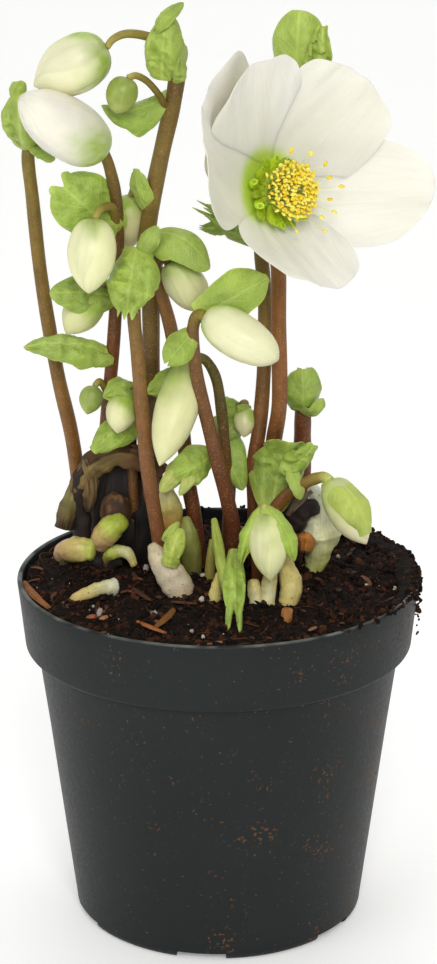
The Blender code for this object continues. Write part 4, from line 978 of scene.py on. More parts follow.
def sepal(angle, length, rise, width, sway, layer, end, skew):
    """A sepal over t from base to tip and s from side to side: out grows as t, up as t^1.7, both sides lift,
    and the edge waves; its half-width grows as a sine, then closes like a blunt superellipse. Skew makes the
    side of negative s the wider one, and q is how far a point really lies to the side."""
    reach, lift = length * math.cos(math.radians(rise)), length * math.sin(math.radians(rise))
    t, s = np.meshgrid(1 - (1 - np.linspace(0, 1, 62)) ** 1.5, np.linspace(-1, 1, 57), indexing="ij")
    seed = abs(angle) % 17 + 1
    grow = 0.16 + 0.84 * np.sin(math.pi / 2 * np.minimum(1, t / 0.62)) ** 0.9
    tail = np.clip((t - 0.45) / 0.55, 0, 1)
    half = 0.5 * width * grow * np.maximum(1 - tail ** (2.2 + 3.2 * end), 0.0004) ** 0.5
    out = reach * t * (1 - 0.10 * s * s * np.sin(math.pi * t))
    half = half * (1 - skew * s)
    side = half * s + sway * t * t
    q = half * s / (0.5 * width)
    away = np.arctan2(side, out + 3)
    notch = 1 + 0.022 * np.sin(9 * away + seed) * t + 0.030 * noise(np.stack([away * 6, s * 0, s * 0 + seed], -1), 5) * t
    out, side = out * notch, side * notch
    up = lift * t ** 1.7 + 0.045 * width * q * q * t + LAYER * layer * (0.25 + 0.75 * t)
    wave = 0.03 * width * np.sin(2.4 * q + angle) * t * t
    ruffle = 0.35 * step(np.maximum(t, np.abs(s)), 0.72, 1.0) * np.sin(8 * q + 5 * t + seed) * t
    flat = np.stack([out, side, np.zeros_like(out)], -1)
    ripple = 0.7 * cloud(flat * np.array([0.045, 0.17, 1]) + seed, 3, 3) * t
    turn = math.radians(angle)
    place = np.stack([out * math.cos(turn) - side * math.sin(turn), out * math.sin(turn) + side * math.cos(turn),
                      up + wave + ruffle + ripple], -1)
    far = np.hypot(out, side)
    tint = mix(PETAL_WHITE, PETAL_SHADE, 0.5 + 0.5 * cloud(flat * 0.06 + seed, 2, 9))
    tint = mix(tint, GLOW_GREEN, 0.95 * step(far, 13.5, 9.0))
    under = mix(tint, rgb(222, 216, 186), np.full_like(t, 0.5))
    return shell(in_bloom(place), SEPAL_THICKNESS, tint, under, t, (s + q) * (0.3 + 0.5 * t), finish=0)


parts = [sepal(*plan) for plan in SEPALS]
t, v = np.meshgrid(np.linspace(0, 1, 9), np.arange(24) / 24, indexing="ij")
profile_r = np.interp(t, [0, 0.3, 0.6, 1], [2.4, 3.8, 3.4, 0.6])
profile_z = np.interp(t, [0, 0.3, 0.6, 1], [-2.0, -0.2, 0.8, 0.9])
rings = np.stack([profile_r * np.cos(v * math.tau), profile_r * np.sin(v * math.tau), profile_z], -1)
parts.append(closed(in_bloom(rings), np.broadcast_to(GLOW_GREEN, rings.shape), waved_flow(t, v)))
piece("bloom_sepals_open", parts, [petal_skin], ["bloom_sepals"])

# %% [markdown]
# Round the middle stands a ring of green nectaries, small tubes with a slanted mouth. Inside it, a boss of
# stamens opens from upright to leaning, each a pale thread with a two-lobed anther, and the pale styles stand
# in the middle. A few stamens have already bent out over the sepals.

# %% Bloom nectaries
NECTARIES = 17
RING = [(0, 4.4), (4.6, 4.4), (4.8, 3.3), (2.4, 2.6), (1.9, 1.5), (0, 1.5)]
CUP = [(3.8, 3.9), (5.8, 4.2), (7.4, 5.2), (8.7, 6.5), (9.6, 8.2)]


def turned(profile, sides=28):
    """A body turned from a profile of (radius, height), upper side first, as rings from the last to the first."""
    radius = np.maximum(np.array([p[0] for p in profile][::-1], float), 0.02)
    height = np.array([p[1] for p in profile][::-1], float)
    turn = np.arange(sides) / sides * math.tau
    return np.stack([radius[:, None] * np.cos(turn), radius[:, None] * np.sin(turn),
                     np.repeat(height[:, None], sides, 1)], -1)


def in_heart(place):
    """Places of the inner flower, whose middle lies a little below the sepals' own."""
    return in_bloom(place + np.array([0, -1.8, 0]))


def nectary(index):
    """A curved tube that widens to its mouth and turns in there, so that it looks hollow; the outer lip is long."""
    turn = math.tau * (index + 0.3) / NECTARIES
    grow = 1.05 + 0.14 * math.sin(index * 2.4)
    line = flowing([(r * math.cos(turn), r * math.sin(turn), z * grow) for r, z in CUP], 4)
    line[:, 2] += 0.3 * math.sin(index * 1.7)
    rings, u, v = tube(line, (0.7, 1.05, 1.4, 1.3, 0.95), 14)
    outside, centre = rings[3:-3], line[:, None]
    lip = unit(line[-1] - line[-2]) * 0.9 * np.cos(v[:1] * math.tau)[..., None]
    outside = outside + lip * step(np.linspace(0, 1, len(line)), 0.7, 1.0)[:, None, None]
    inside = (centre + (outside - centre) * 0.55)[::-1][:2]
    body = np.concatenate([rings[:3], outside, inside])
    depth = np.concatenate([np.zeros(3), np.linspace(0, 0.55, len(line)), np.linspace(0.7, 1, len(inside))])
    tone = 0.85 + 0.25 * math.sin(index * 3.7)
    tint = ramp(depth, [(0, rgb(206, 220, 70)), (0.55, rgb(180, 208, 40) * tone), (0.7, rgb(196, 218, 70) * tone),
                        (1, rgb(150, 190, 40))])[:, None]
    flow = np.broadcast_to(depth[:, None, None], body.shape)
    return closed(in_heart(body), np.broadcast_to(tint, body.shape), flow)


rings = turned(RING)
parts = [closed(in_heart(rings), np.broadcast_to(rgb(170, 200, 50), rings.shape), rings * 0)]
parts += [nectary(index) for index in range(NECTARIES)]
piece("bloom_nectary_ring", parts, [nectar_skin], ["bloom_nectaries"])

# %% Bloom stamens
STAMENS = 185
GOLDEN_ANGLE = math.radians(137.5)
HEAD_REACH = 8.3
LOOSE_STAMENS = [(24, 14), (-4, 16.5), (-30, 16), (48, 12.5), (-58, 15), (8, 13.6), (-18, 13.8), (86, 11),
                 (148, 10.5), (-44, 12.6), (-96, 11.5)]
COLLAR = [(0.9, 5.9), (3.6, 5.9), (3.8, 4.8), (0.9, 4.8)]
GOLD = rgb(244, 210, 44)
LEMON = rgb(250, 238, 110)
THREAD = rgb(206, 216, 110)


def stamen(turn, foot, head, size, seed):
    """A thread that bows from foot to head, and an anther: an egg with a groove down each face."""
    around = np.array([math.cos(turn), math.sin(turn)])
    foot = np.array([*(around * foot[0]), foot[1]])
    head = np.array([*(around * head[0]), head[1]])
    middle = (foot + head) / 2 + np.array([*(around * 0.5), 0.5])
    line = flowing([foot, middle, head], 4)
    rings, u, v = tube(line, (0.16, 0.13, 0.10), 5)
    tint = ramp(u, [(0, rgb(176, 204, 84)), (0.6, THREAD), (1, rgb(240, 232, 140))])
    parts = [closed(in_heart(rings), tint, waved_flow(u, v), finish=0)]
    way = unit(head - middle)
    lean = unit(way + 0.7 * np.array([math.sin(seed * 3.1), math.cos(seed * 1.7), 0.3]))
    side = unit(np.cross(lean, [0.2, 0.3, 1]))
    up = np.cross(lean, side)
    t, v = np.meshgrid(np.linspace(0.04, 0.96, 7), np.arange(10) / 10, indexing="ij")
    turn = v * math.tau
    radius = size * np.sin(math.pi * t) ** 0.6 * (0.62 + 0.24 * np.abs(np.cos(turn)))
    body = (head + lean * ((t - 0.4) * 2.3 * size)[..., None]
            + (side * np.cos(turn)[..., None] + up * 0.72 * np.sin(turn)[..., None]) * radius[..., None])
    gold = mix(GOLD, LEMON, np.full(t.shape, 0.5 + 0.5 * math.sin(seed * 5.3)))
    # The anther is painted darker along its grooves: painted shade in them.
    parts.append(closed(in_heart(body), gold * (0.88 + 0.12 * np.abs(np.cos(turn)))[..., None],
                        waved_flow(t, v), finish=1))
    return parts


rings = turned(COLLAR)
parts = [closed(in_heart(rings), np.broadcast_to(rgb(180, 200, 90), rings.shape), rings * 0)]
for index in range(STAMENS):
    share = math.sqrt((index + 6) / (STAMENS + 6))
    height = 16.6 - 3.4 * share ** 2 + 0.7 * math.sin(index * 2.3)
    parts += stamen(index * GOLDEN_ANGLE, (1.2 + 2.2 * share, 5.4), (HEAD_REACH * share, height), 0.80, index)
for index, (angle, reach) in enumerate(LOOSE_STAMENS):
    height = 13.5 + math.sin(index * 1.9)
    parts += stamen(math.radians(angle), (2.9, 5.3), (reach, height), 0.84, index + 200)
piece("bloom_stamen_boss", parts, [filament_skin, pollen], ["bloom_stamens"])

# %% Bloom carpels
CARPELS = 5
HEART = [(0, 7.2), (0.8, 7.2), (0.8, 4.8), (0, 4.8)]
STYLE = [(0.3, 6.6), (0.9, 10), (1.5, 14.5)]
rings = turned(HEART)
parts = [closed(in_heart(rings), np.broadcast_to(rgb(166, 186, 64), rings.shape), rings * 0)]
for index in range(CARPELS):
    turn = math.tau * index / CARPELS
    line = flowing([(r * math.cos(turn), r * math.sin(turn), z) for r, z in STYLE], 6)
    rings, u, v = tube(line, (0.55, 0.5, 0.35), 8)
    tint = ramp(u, [(0, rgb(170, 196, 80)), (1, rgb(222, 226, 150))])
    parts.append(closed(in_heart(rings), tint, waved_flow(u, v)))
piece("bloom_carpel_group", parts, [filament_skin], ["bloom_carpels"])

# %% [markdown]
# At soil level, young shoots push up and old leaf bases dry out. Each is a fleshy tube that swells and bends,
# with an overlapping sheath edge that winds round it and wrinkles across it. Young ones go from pinkish at the
# foot to cream and green, old ones are brown.

# %% Shoots and old leaf bases
TAN = rgb(190, 166, 100)
SAND = rgb(202, 188, 116)
LIME = rgb(178, 190, 82)
ROSY = rgb(176, 142, 104)
BARK = rgb(104, 72, 34)
DARK_BARK = rgb(36, 22, 14)
BLACK_BROWN = rgb(22, 14, 10)
IVORY = rgb(206, 202, 152)
SHOOTS = {
    "old_leaf_base": ([(-41, 10, 97), (-41, 10, 112), (-41.5, 10.5, 126), (-40, 10, 136), (-35, 10, 141),
                       (-29.4, 9.5, 142.5), (-24, 9.6, 140.3)], (2.5, 2.6, 2.7, 2.6, 2.6, 2.6, 1.8),
                      (BLACK_BROWN, BLACK_BROWN, DARK_BARK, BARK, DARK_BARK), 0.7),
    "old_husk_right": ([(20, 7, 101), (20.2, 6.5, 115), (23.2, 3.5, 124.2), (28.4, 2, 127)], (2.6, 4.2, 4.2, 2.4),
                       (BLACK_BROWN, rgb(30, 18, 14), rgb(26, 16, 12)), 0.7),
    "old_stub_right": ([(22, 3, 110), (22.8, 1.4, 114.5), (24.6, -0.4, 116.6), (27.0, -2, 117.1)],
                       (2.6, 3.0, 3.1, 2.8), (BLACK_BROWN, rgb(60, 30, 14), rgb(40, 22, 12), rgb(176, 112, 42)), 0.5),
    "old_stub_front": ([(19.5, -34, 100), (19.8, -32.5, 107.5)], (1.8, 1.7),
                       (rgb(104, 62, 30), rgb(176, 116, 58)), 0.4),
    "shoot_left_lying": ([(-48.6, 9.5, 108), (-47, 9, 110.3), (-44, 8, 111.4), (-40.8, 7.5, 111.6),
                          (-38, 7, 111.4)], (1.6, 3.0, 3.8, 3.9, 3.4), (ROSY, ROSY, TAN, SAND, LIME), 0.35),
    "shoot_left_back": ([(-35.8, 8, 112.5), (-35, 7.6, 115), (-32.4, 7, 118.3), (-29.4, 6.5, 120.6)],
                        (2.2, 3.5, 4.0, 3.0), (ROSY, ROSY, TAN, LIME, rgb(160, 176, 56)), 0.7),
    "shoot_left_curled": ([(-34.5, 8.5, 102), (-34.5, 8.5, 107.5), (-31.5, 7.5, 110.8), (-27.5, 6.5, 110.8),
                           (-25.5, 6, 107.5)], (1.4, 1.7, 2.0, 1.9, 1.3),
                          (DARK_BARK, rgb(90, 66, 34), LIME, IVORY, SAND), 0.7),
    "shoot_front_lying": ([(-43.4, -17, 103.4), (-41.8, -16.6, 104.8), (-38.5, -14.5, 105.8), (-34.5, -12, 106.4),
                           (-30.8, -10, 106)], (1.3, 1.7, 1.9, 2.1, 2.7),
                          (rgb(150, 100, 46), TAN, SAND, IVORY, rgb(206, 208, 184)), 0.3),
    "shoot_pale_bulb": ([(-13, 2.5, 98), (-13.5, 2.5, 112), (-14.4, 3, 121), (-14.6, 3, 127),
                         (-15.5, 3.5, 132.5)], (2.4, 2.8, 3.8, 3.9, 2.0),
                        (rgb(110, 70, 34), rgb(150, 92, 34), rgb(168, 124, 56), rgb(180, 168, 96), IVORY), 0.7),
    "shoot_translucent": ([(-8, 0.5, 98), (-8, 0.5, 110), (-8.8, 1, 118), (-9.8, 2, 123)],
                          (2.2, 3.0, 2.8, 1.4), (rgb(70, 66, 30), rgb(112, 120, 52), rgb(150, 152, 74)), 0.7),
    "shoot_small_pale": ([(-1.6, -19.6, 99), (-1.2, -19, 106), (0.2, -18, 113)], (1.7, 2.2, 1.0),
                         (TAN, SAND, rgb(190, 180, 96)), 0.7),
    "shoot_forked_right": ([(14, -21.5, 99), (14.3, -21, 105), (15, -18.5, 111), (15.5, -16.5, 114)],
                           (1.6, 2.4, 2.2, 1.4), (SAND, IVORY, TAN), 0.7),
    "shoot_forked_left": ([(12.2, -21, 99), (11.2, -20.5, 105), (10.2, -18.5, 110.5)], (1.4, 2.3, 1.8),
                          (TAN, IVORY, SAND), 0.7),
    "shoot_pale_right": ([(18.4, -20.5, 101), (20.4, -19.5, 104.5), (21.2, -17, 109), (19.9, -14, 113.5),
                          (18.4, -12, 117.5)], (1.4, 2.9, 3.4, 2.7, 1.6), (TAN, SAND, SAND, TAN), 0.7),
    "shoot_white_knob": ([(28.5, 8, 101), (29.3, 7.5, 106), (30.3, 7, 111.5), (30.8, 7, 117), (30.4, 7, 121.5),
                          (30.6, 7, 127), (28.6, 6.5, 130.6)], (2.8, 3.0, 4.2, 6.4, 4.4, 3.0, 2.2),
                         (LIME, rgb(204, 208, 130), rgb(222, 224, 176), rgb(226, 228, 194), rgb(230, 232, 214)), 0.8),
}


def shoot(route, radii, colours, dome, seed, dry):
    """A swelling tube; its sheath edge is a saw that falls once round and winds with the length."""
    line = flowing(route, 12)
    roughness = 0.05 if dry else 0.02

    def ripple(u, v):
        around = (v + 0.35 * u + seed * 0.37) % 1
        sheath = 0.10 * (around - 0.5) * step(around, 0.0, 0.05) * step(u, 0, 0.2)
        wrinkle = roughness * np.sin(34 * u + 2 * np.sin(v * math.tau)) + roughness * np.sin(3 * math.tau * v + 5 * u)
        return 1 + sheath + wrinkle

    rings, u, v = tube(line, radii, 30, ripple, blunt=dome)
    dents = (0.6 if dry else 0.30) * cloud(rings * 0.35, 3, seed)
    rings = rings + unit(rings - rings.mean(1, keepdims=True)) * dents[..., None]
    tint = ramp(u + 0.05 * np.sin(v * math.tau * 2), [(k / (len(colours) - 1), c) for k, c in enumerate(colours)])
    return [closed(rings, tint, waved_flow(u, v))]


def ribbon(points, widths, facing, curl, stops, crumple, seed, ragged=0.0):
    """A dry sheath: a strip along a smooth line, as wide as the widths say, bent across by the curl's angle, with
    folds from noise and a torn edge."""
    line = flowing(points, 7)
    rows = len(line)
    t, s = np.meshgrid(np.linspace(0, 1, rows), np.linspace(-1, 1, 23), indexing="ij")
    way = unit(np.gradient(line, axis=0))
    side = unit(np.cross(way, np.array(facing, float)))
    out = np.cross(side, way)
    half = 0.5 * np.interp(t, np.linspace(0, 1, len(widths)), widths)
    half = half * (1 + ragged * noise(np.stack([t * 9, np.sign(s) * 3, s * 0], -1), seed) * np.abs(s) ** 3)
    bend = math.radians(curl)
    across, fold = half * np.sin(bend * s) / bend, half * (1 - np.cos(bend * s)) / bend
    flat = line[:, None] + side[:, None] * across[..., None]
    folds = crumple * (0.5 - np.abs(noise(flat * 0.3, seed)) - 0.6 * np.abs(noise(np.stack([t * 2, s * 5, t * 0], -1), seed)))
    sheet = flat + out[:, None] * (folds - fold)[..., None]
    # Sunken folds are painted darker and raised ones lighter, and the underside is a darker copy of the top: painted
    # shade and painted light.
    tint = ramp(t + 0.10 * noise(flat * 0.3, seed + 2), stops) * (0.85 + 0.3 * np.clip(folds, -0.5, 0.5))[..., None]
    return shell(sheet, 0.5, tint, tint * 0.35, t, s, finish=0)


OLD_SHEATHS = [
    ([(-42.5, 9, 125), (-42, 8, 132), (-38.5, 7.5, 138.5), (-33.5, 7, 142), (-27.5, 6.6, 143), (-21, 6.4, 141),
      (-15.8, 6.8, 136.5)], (6, 8, 9, 9, 9, 10, 8), (-0.1, -0.75, 0.65), 75,
     [(0, rgb(150, 112, 56)), (0.3, rgb(206, 172, 100)), (0.5, rgb(182, 156, 84)), (0.75, rgb(170, 118, 72)),
      (1, rgb(150, 90, 64))], 1.6, 51, 0.3),
    ([(-41.8, 12, 134.5), (-43.5, 9, 129), (-45.5, 7, 123.5), (-47, 6, 118.5)], (5, 8, 10, 8.5), (-0.1, -1, 0.1), 95,
     [(0, rgb(186, 150, 84)), (0.45, rgb(206, 196, 110)), (0.75, rgb(150, 118, 60)), (1, rgb(60, 42, 26))], 1.2, 52, 0.3),
    ([(-39.5, 8, 140), (-38.2, 6.5, 134.5), (-38, 6, 129), (-39, 6, 124)], (3, 6, 5.5, 3), (0.2, -1, 0.1), 80,
     [(0, rgb(206, 176, 104)), (0.5, rgb(190, 152, 82)), (1, rgb(84, 54, 30))], 1.4, 53, 0.4),
    ([(-47.5, 9, 103), (-46.5, 7.5, 110), (-44.5, 7, 114.5)], (2, 4.5, 2), (-0.1, -1, 0.3), 90,
     [(0, rgb(120, 110, 60)), (1, rgb(186, 190, 110))], 0.8, 54, 0.2),
    ([(20.5, -2.5, 126), (23.5, -3.8, 130.5), (27.5, -4, 134)], (1.5, 2.6, 1.5), (0.1, -1, 0.4), 60,
     [(0, rgb(150, 124, 96)), (1, rgb(196, 172, 140))], 0.8, 55, 0.4),
]


for index, (name, plan) in enumerate(SHOOTS.items()):
    dry = name.startswith("old")
    parts = shoot(*plan, index + 1, dry)
    if name == "old_leaf_base":
        parts += [ribbon(*old_sheath) for old_sheath in OLD_SHEATHS]
    piece(name + "_grown", parts, [husk_skin if dry else shoot_skin], [name])

# %% [markdown]
# Behind the stalks on the left, the old crown is a dark, fibrous lump with a smooth brown dome, the stump of
# last year's leaf. The lump's near-black colour is painted shade that fills the deep shadow there. Both are balls whose
# surface is pushed in and out by noise.

# %% Old crown


def ball(centre, sizes, roughness, low, high, seed, rings=40, sides=48):
    """A ball scaled on three axes, its radius changed by noise; hollows are painted darker than ridges, as painted
    shade.
    """
    t, v = np.meshgrid(np.linspace(0.02, 0.98, rings), np.arange(sides) / sides, indexing="ij")
    sphere = np.stack([np.sin(math.pi * t) * np.cos(v * math.tau), np.sin(math.pi * t) * np.sin(v * math.tau),
                       -np.cos(math.pi * t)], -1)
    relief = cloud(sphere * 2.6 + seed, 4, seed)
    body = np.array(centre, float) + sphere * np.array(sizes, float) * (1 + roughness * relief)[..., None]
    return closed(body, mix(np.array(low), np.array(high), step(relief, -0.2, 0.7)), waved_flow(t, v))


# The three near-black balls are painted shade behind the stalks; the brown one is the stump of last year's leaf.
parts = [ball((-29.5, 18, 116), (10.5, 6.0, 23.5), 0.13, rgb(7, 5, 4), rgb(26, 17, 12), 3),
         ball((-21.5, 16.5, 113), (8, 6, 21), 0.16, rgb(7, 5, 4), rgb(24, 15, 11), 4),
         ball((-36, 10.5, 107), (7, 4, 6.5), 0.25, rgb(10, 7, 6), rgb(34, 23, 16), 6, 24, 30),
         ball((-31, 11, 122), (4.8, 3.5, 6.5), 0.05, rgb(62, 40, 22), rgb(112, 80, 46), 5)]
piece("old_crown_and_shade_mass", parts, [husk_skin], ["old_crown_knob"])

# %% [markdown]
# The compost is peat with bark, fibres and white perlite. Its surface is one body turned from the packed
# model's profile, with noise at three scales on top. Thousands of small bodies lie on it: crumbs, fibres,
# chips and perlite. Each kind is one shape, repeated with its own size, turn and colour, all worked out at once.

# %% Compost surface
SOIL_EDGE = 103.6
SOIL_MOUND = 3.4
MOUND_SPREAD = 30
SOIL_RADIUS = 57.8
rng = np.random.default_rng(20)


def soil_height(x, y):
    """The compost's top: level at the wall, a bell-shaped mound round the crown, and lumps of three sizes."""
    mound = SOIL_MOUND * np.exp(-(np.hypot(x, y) / MOUND_SPREAD) ** 2)
    mound = mound + 2.6 * np.exp(-(np.hypot(x + 46, y - 14) / 15) ** 2)
    mound = mound + 3.0 * np.exp(-(np.hypot(x - 50, y - 12) / 13) ** 2)
    place = np.stack([x, y, np.zeros_like(x)], -1)
    lumps = 0.8 * noise(place * 0.16, 1) + 0.55 * noise(place * 0.42, 2) + 0.40 * noise(place * 1.1, 3)
    return SOIL_EDGE + mound + lumps * 0.9


steps = 360
turn = np.arange(steps) / steps * math.tau
reach = np.linspace(SOIL_RADIUS, 0.3, 84)
radius = np.concatenate([[0.3, 30, 42.2, 52.6, 55.2], reach])
height = np.concatenate([[4.3, 4.3, 4.3, 86.9, 87.8], np.zeros(len(reach))])
x, y = radius[:, None] * np.cos(turn), radius[:, None] * np.sin(turn)
z = np.where(np.arange(len(radius))[:, None] < 5, height[:, None], soil_height(x, y))
rings = np.stack([x, y, z], -1)
dark = 0.5 + 0.5 * cloud(rings * 0.3, 3, 11)
tint = mix(rgb(12, 8, 7), rgb(29, 19, 13), dark)
parts = [closed(rings, tint, rings * 0)]

compost, tree, shader, tint = finish("compost", 0.9, shine=0.15)
soft = placed(tree, mottle, Colour=tint, Size=900.0, Strength=0.9)
dotted = placed(tree, speckle, Colour=soft.outputs[0], Dots=opaque(rgb(70, 42, 26)), Size=700.0, Amount=0.0)
tree.links.new(dotted.outputs[0], shader.inputs["Base Color"])
bumped(tree, shader, soft.outputs[1], 0.9)
piece("compost_bed", parts, [compost], ["soil"])

# %% Scattered bodies


def scattered(shape, places, sizes, tints, seed):
    """Copies of one closed shape (n, m, 3): each is scaled on three axes, turned at random and moved."""
    spin = np.random.default_rng(seed).normal(size=(len(places), 4))
    w, x, y, z = (spin / np.linalg.norm(spin, axis=1, keepdims=True)).T
    turns = np.stack([
        np.stack([1 - 2 * (y * y + z * z), 2 * (x * y - z * w), 2 * (x * z + y * w)], -1),
        np.stack([2 * (x * y + z * w), 1 - 2 * (x * x + z * z), 2 * (y * z - x * w)], -1),
        np.stack([2 * (x * z - y * w), 2 * (y * z + x * w), 1 - 2 * (x * x + y * y)], -1)], 1)
    base = closed(shape, shape * 0, shape * 0)
    grown = np.einsum("kij,kpj->kpi", turns, base["co"][None] * sizes[:, None]) + places[:, None]
    count, points = grown.shape[:2]
    offset = (np.arange(count) * points)[:, None, None]
    return {"co": grown.reshape(-1, 3), "tint": np.repeat(tints, points, 0), "flow": np.zeros((count * points, 3)),
            "quads": (base["quads"][None] + offset).reshape(-1, 4),
            "tris": (base["tris"][None] + offset).reshape(-1, 3), "finish": 0}


def lump(rings, sides, roughness, seed):
    """A small uneven ball: a sphere whose radius is changed by noise."""
    t, v = np.meshgrid(np.linspace(0.12, 0.88, rings), np.arange(sides) / sides, indexing="ij")
    ball = np.stack([np.sin(math.pi * t) * np.cos(v * math.tau), np.sin(math.pi * t) * np.sin(v * math.tau),
                     -np.cos(math.pi * t)], -1)
    return ball * (1 + roughness * noise(ball * 1.7 + seed, seed))[..., None]


def on_soil(count, seed, lift, spread=56.5):
    """Random places on the compost, evenly spread, lifted a little."""
    draw = np.random.default_rng(seed)
    reach = spread * np.sqrt(draw.random(count))
    turn = draw.random(count) * math.tau
    x, y = reach * np.cos(turn), reach * np.sin(turn)
    return np.stack([x, y, soil_height(x, y) + lift], -1)


CRUMBS = 2300
places = on_soil(CRUMBS, 31, 0.1)
sizes = (0.35 + 1.1 * rng.random((CRUMBS, 1)) ** 3) * (0.6 + 0.8 * rng.random((CRUMBS, 3)))
warm = rng.random(CRUMBS) ** 2.2
tints = mix(rgb(16, 11, 8), rgb(84, 48, 30), warm ** 1.6) * (0.7 + 0.6 * rng.random((CRUMBS, 1)))
crumbs = scattered(lump(5, 6, 0.45, 3), places, sizes, tints, 32)
piece("compost_crumbs", [crumbs], [compost])

# Compost has spilled over the rim on the right: a flat crust lies on the rim there, with crumbs on it
turn = np.radians(np.linspace(-26, 72, 70))
line = np.stack([56.8 * np.cos(turn), 56.8 * np.sin(turn), 105.6 + 0.3 * np.sin(turn * 9)], -1)
rings, u, v = tube(line, (0.6, 2.6, 3.6, 3.8, 3.4, 3.6, 2.6, 0.6), 30)
rings = rings + unit(rings - rings.mean(1, keepdims=True)) * (1.0 * cloud(rings * 0.5, 3, 66))[..., None]
rings[..., 2] = 105.6 + 0.55 * (rings[..., 2] - 105.6)
parts = [closed(rings, mix(rgb(10, 7, 6), rgb(30, 20, 14), 0.5 + 0.5 * cloud(rings * 0.4, 2, 67)), rings * 0)]
SPILLED = 900
turn = np.radians(rng.normal(22, 27, SPILLED))
reach = 59.3 + 1.3 * np.tanh(rng.normal(size=SPILLED))
fallen = rng.random(SPILLED) ** 3 * 18 * (reach > 59.9) * (np.abs(turn - 0.2) < 0.5)
places = np.stack([reach * np.cos(turn), reach * np.sin(turn), 106.9 - fallen], -1)
sizes = (0.3 + 0.8 * rng.random((SPILLED, 1)) ** 3) * (0.6 + 0.8 * rng.random((SPILLED, 3)))
tints = mix(rgb(12, 8, 7), rgb(66, 40, 26), rng.random(SPILLED) ** 3)
parts.append(scattered(lump(5, 6, 0.45, 7), places, sizes, tints, 68))
piece("compost_spill", parts, [compost])

PERLITE = 70
places = on_soil(PERLITE, 41, 0.25)
sizes = (0.18 + 0.75 * rng.random((PERLITE, 1)) ** 3) * (0.7 + 0.6 * rng.random((PERLITE, 3)))
seen = np.array([(-21.9, 5.3), (-4.6, -4.9), (-34.6, -27.8), (-7.6, -39.9), (-4.4, -45.7), (44, -5.7)])
places[:6] = np.stack([seen[:, 0], seen[:, 1], soil_height(seen[:, 0], seen[:, 1]) + 0.7], -1)
sizes[:6] = np.array([[1.3, 1.0, 0.9], [0.9, 0.8, 0.8], [1.6, 1.0, 0.8], [0.7, 0.6, 0.6], [0.8, 0.6, 0.6], [0.6, 0.6, 0.6]])
tints = np.repeat(rgb(190, 180, 166)[None], PERLITE, 0) * (0.55 + 0.45 * rng.random((PERLITE, 1)))
grains = scattered(lump(7, 10, 0.5, 5), places, sizes, tints, 42)
perlite, tree, shader, tint = finish("perlite", 0.8, 0.2)
soft = placed(tree, mottle, Colour=tint, Size=1400.0, Strength=0.3)
tree.links.new(soft.outputs[0], shader.inputs["Base Color"])
bumped(tree, shader, soft.outputs[1], 0.3)
piece("compost_perlite", [grains], [perlite])

# %% [markdown]
# Fibres and chips are drawn as short curved tubes: a fibre is as thin as a thread, a chip is flat and as wide
# as a matchstick. All of a kind are worked out in one array, with one row for each, so there is no loop.

# %% Fibres and chips


def sticks(places, lengths, widths, flats, bends, tints, seed, lean=0.25):
    """Curved flat tubes: place + way * length * t + side * bend * (4t(1-t)), with an oval section that tapers."""
    draw = np.random.default_rng(seed)
    count = len(places)
    turn = draw.random(count) * math.tau
    tilt = draw.normal(size=count) * lean
    way = np.stack([np.cos(turn) * np.cos(tilt), np.sin(turn) * np.cos(tilt), np.sin(tilt)], -1)
    return sticks_along(places, way, lengths, widths, flats, bends, tints)


def sticks_along(places, way, lengths, widths, flats, bends, tints):
    side = unit(np.cross(way, [0, 0, 1.0]))
    up = np.cross(side, way)
    t, v = np.meshgrid(np.linspace(0, 1, 7), np.arange(6) / 6, indexing="ij")
    along = (t - 0.5)[None, ..., None] * (lengths[:, None, None, None] * way[:, None, None])
    bow = (4 * t * (1 - t))[None, ..., None] * (bends[:, None, None, None] * (side + 0.4 * up)[:, None, None])
    taper = (0.35 + 0.65 * np.sin(math.pi * np.clip(t, 0.06, 0.94)) ** 0.5)[None, ..., None]
    oval = (side[:, None, None] * (np.cos(v * math.tau)[None] * widths[:, None, None])[..., None]
            + up[:, None, None] * (np.sin(v * math.tau)[None] * flats[:, None, None])[..., None])
    rings = places[:, None, None] + along + bow + oval * taper
    count, n, m = rings.shape[:3]
    base = closed(rings[0], rings[0] * 0, rings[0] * 0)
    ends = np.stack([rings[:, 0].mean(1), rings[:, -1].mean(1)], 1)
    co = np.concatenate([rings.reshape(count, n * m, 3), ends], 1)
    points = co.shape[1]
    offset = (np.arange(count) * points)[:, None, None]
    return {"co": co.reshape(-1, 3), "tint": np.repeat(tints, points, 0), "flow": np.zeros((count * points, 3)),
            "quads": (base["quads"][None] + offset).reshape(-1, 4),
            "tris": (base["tris"][None] + offset).reshape(-1, 3), "finish": 0}


FIBRES = 620
places = on_soil(FIBRES, 51, 0.45)
lengths = 2 + 7 * rng.random(FIBRES) ** 2
widths = 0.07 + 0.16 * rng.random(FIBRES) ** 2
tints = mix(rgb(34, 20, 14), rgb(104, 62, 38), rng.random(FIBRES) ** 2)
fibres = sticks(places, lengths, widths, widths * 0.8, lengths * 0.25 * rng.normal(size=FIBRES), tints, 52)
piece("compost_fibres", [fibres], [compost])

CHIPS = 130
places = on_soil(CHIPS, 61, 0.5)
lengths = 1.6 + 4.5 * rng.random(CHIPS) ** 2
widths = 0.4 + 0.5 * rng.random(CHIPS)
tints = mix(rgb(40, 24, 16), rgb(116, 68, 40), rng.random(CHIPS) ** 2)
chips = sticks(places, lengths, widths, widths * 0.45, 0.1 * lengths, tints, 62, 0.3)
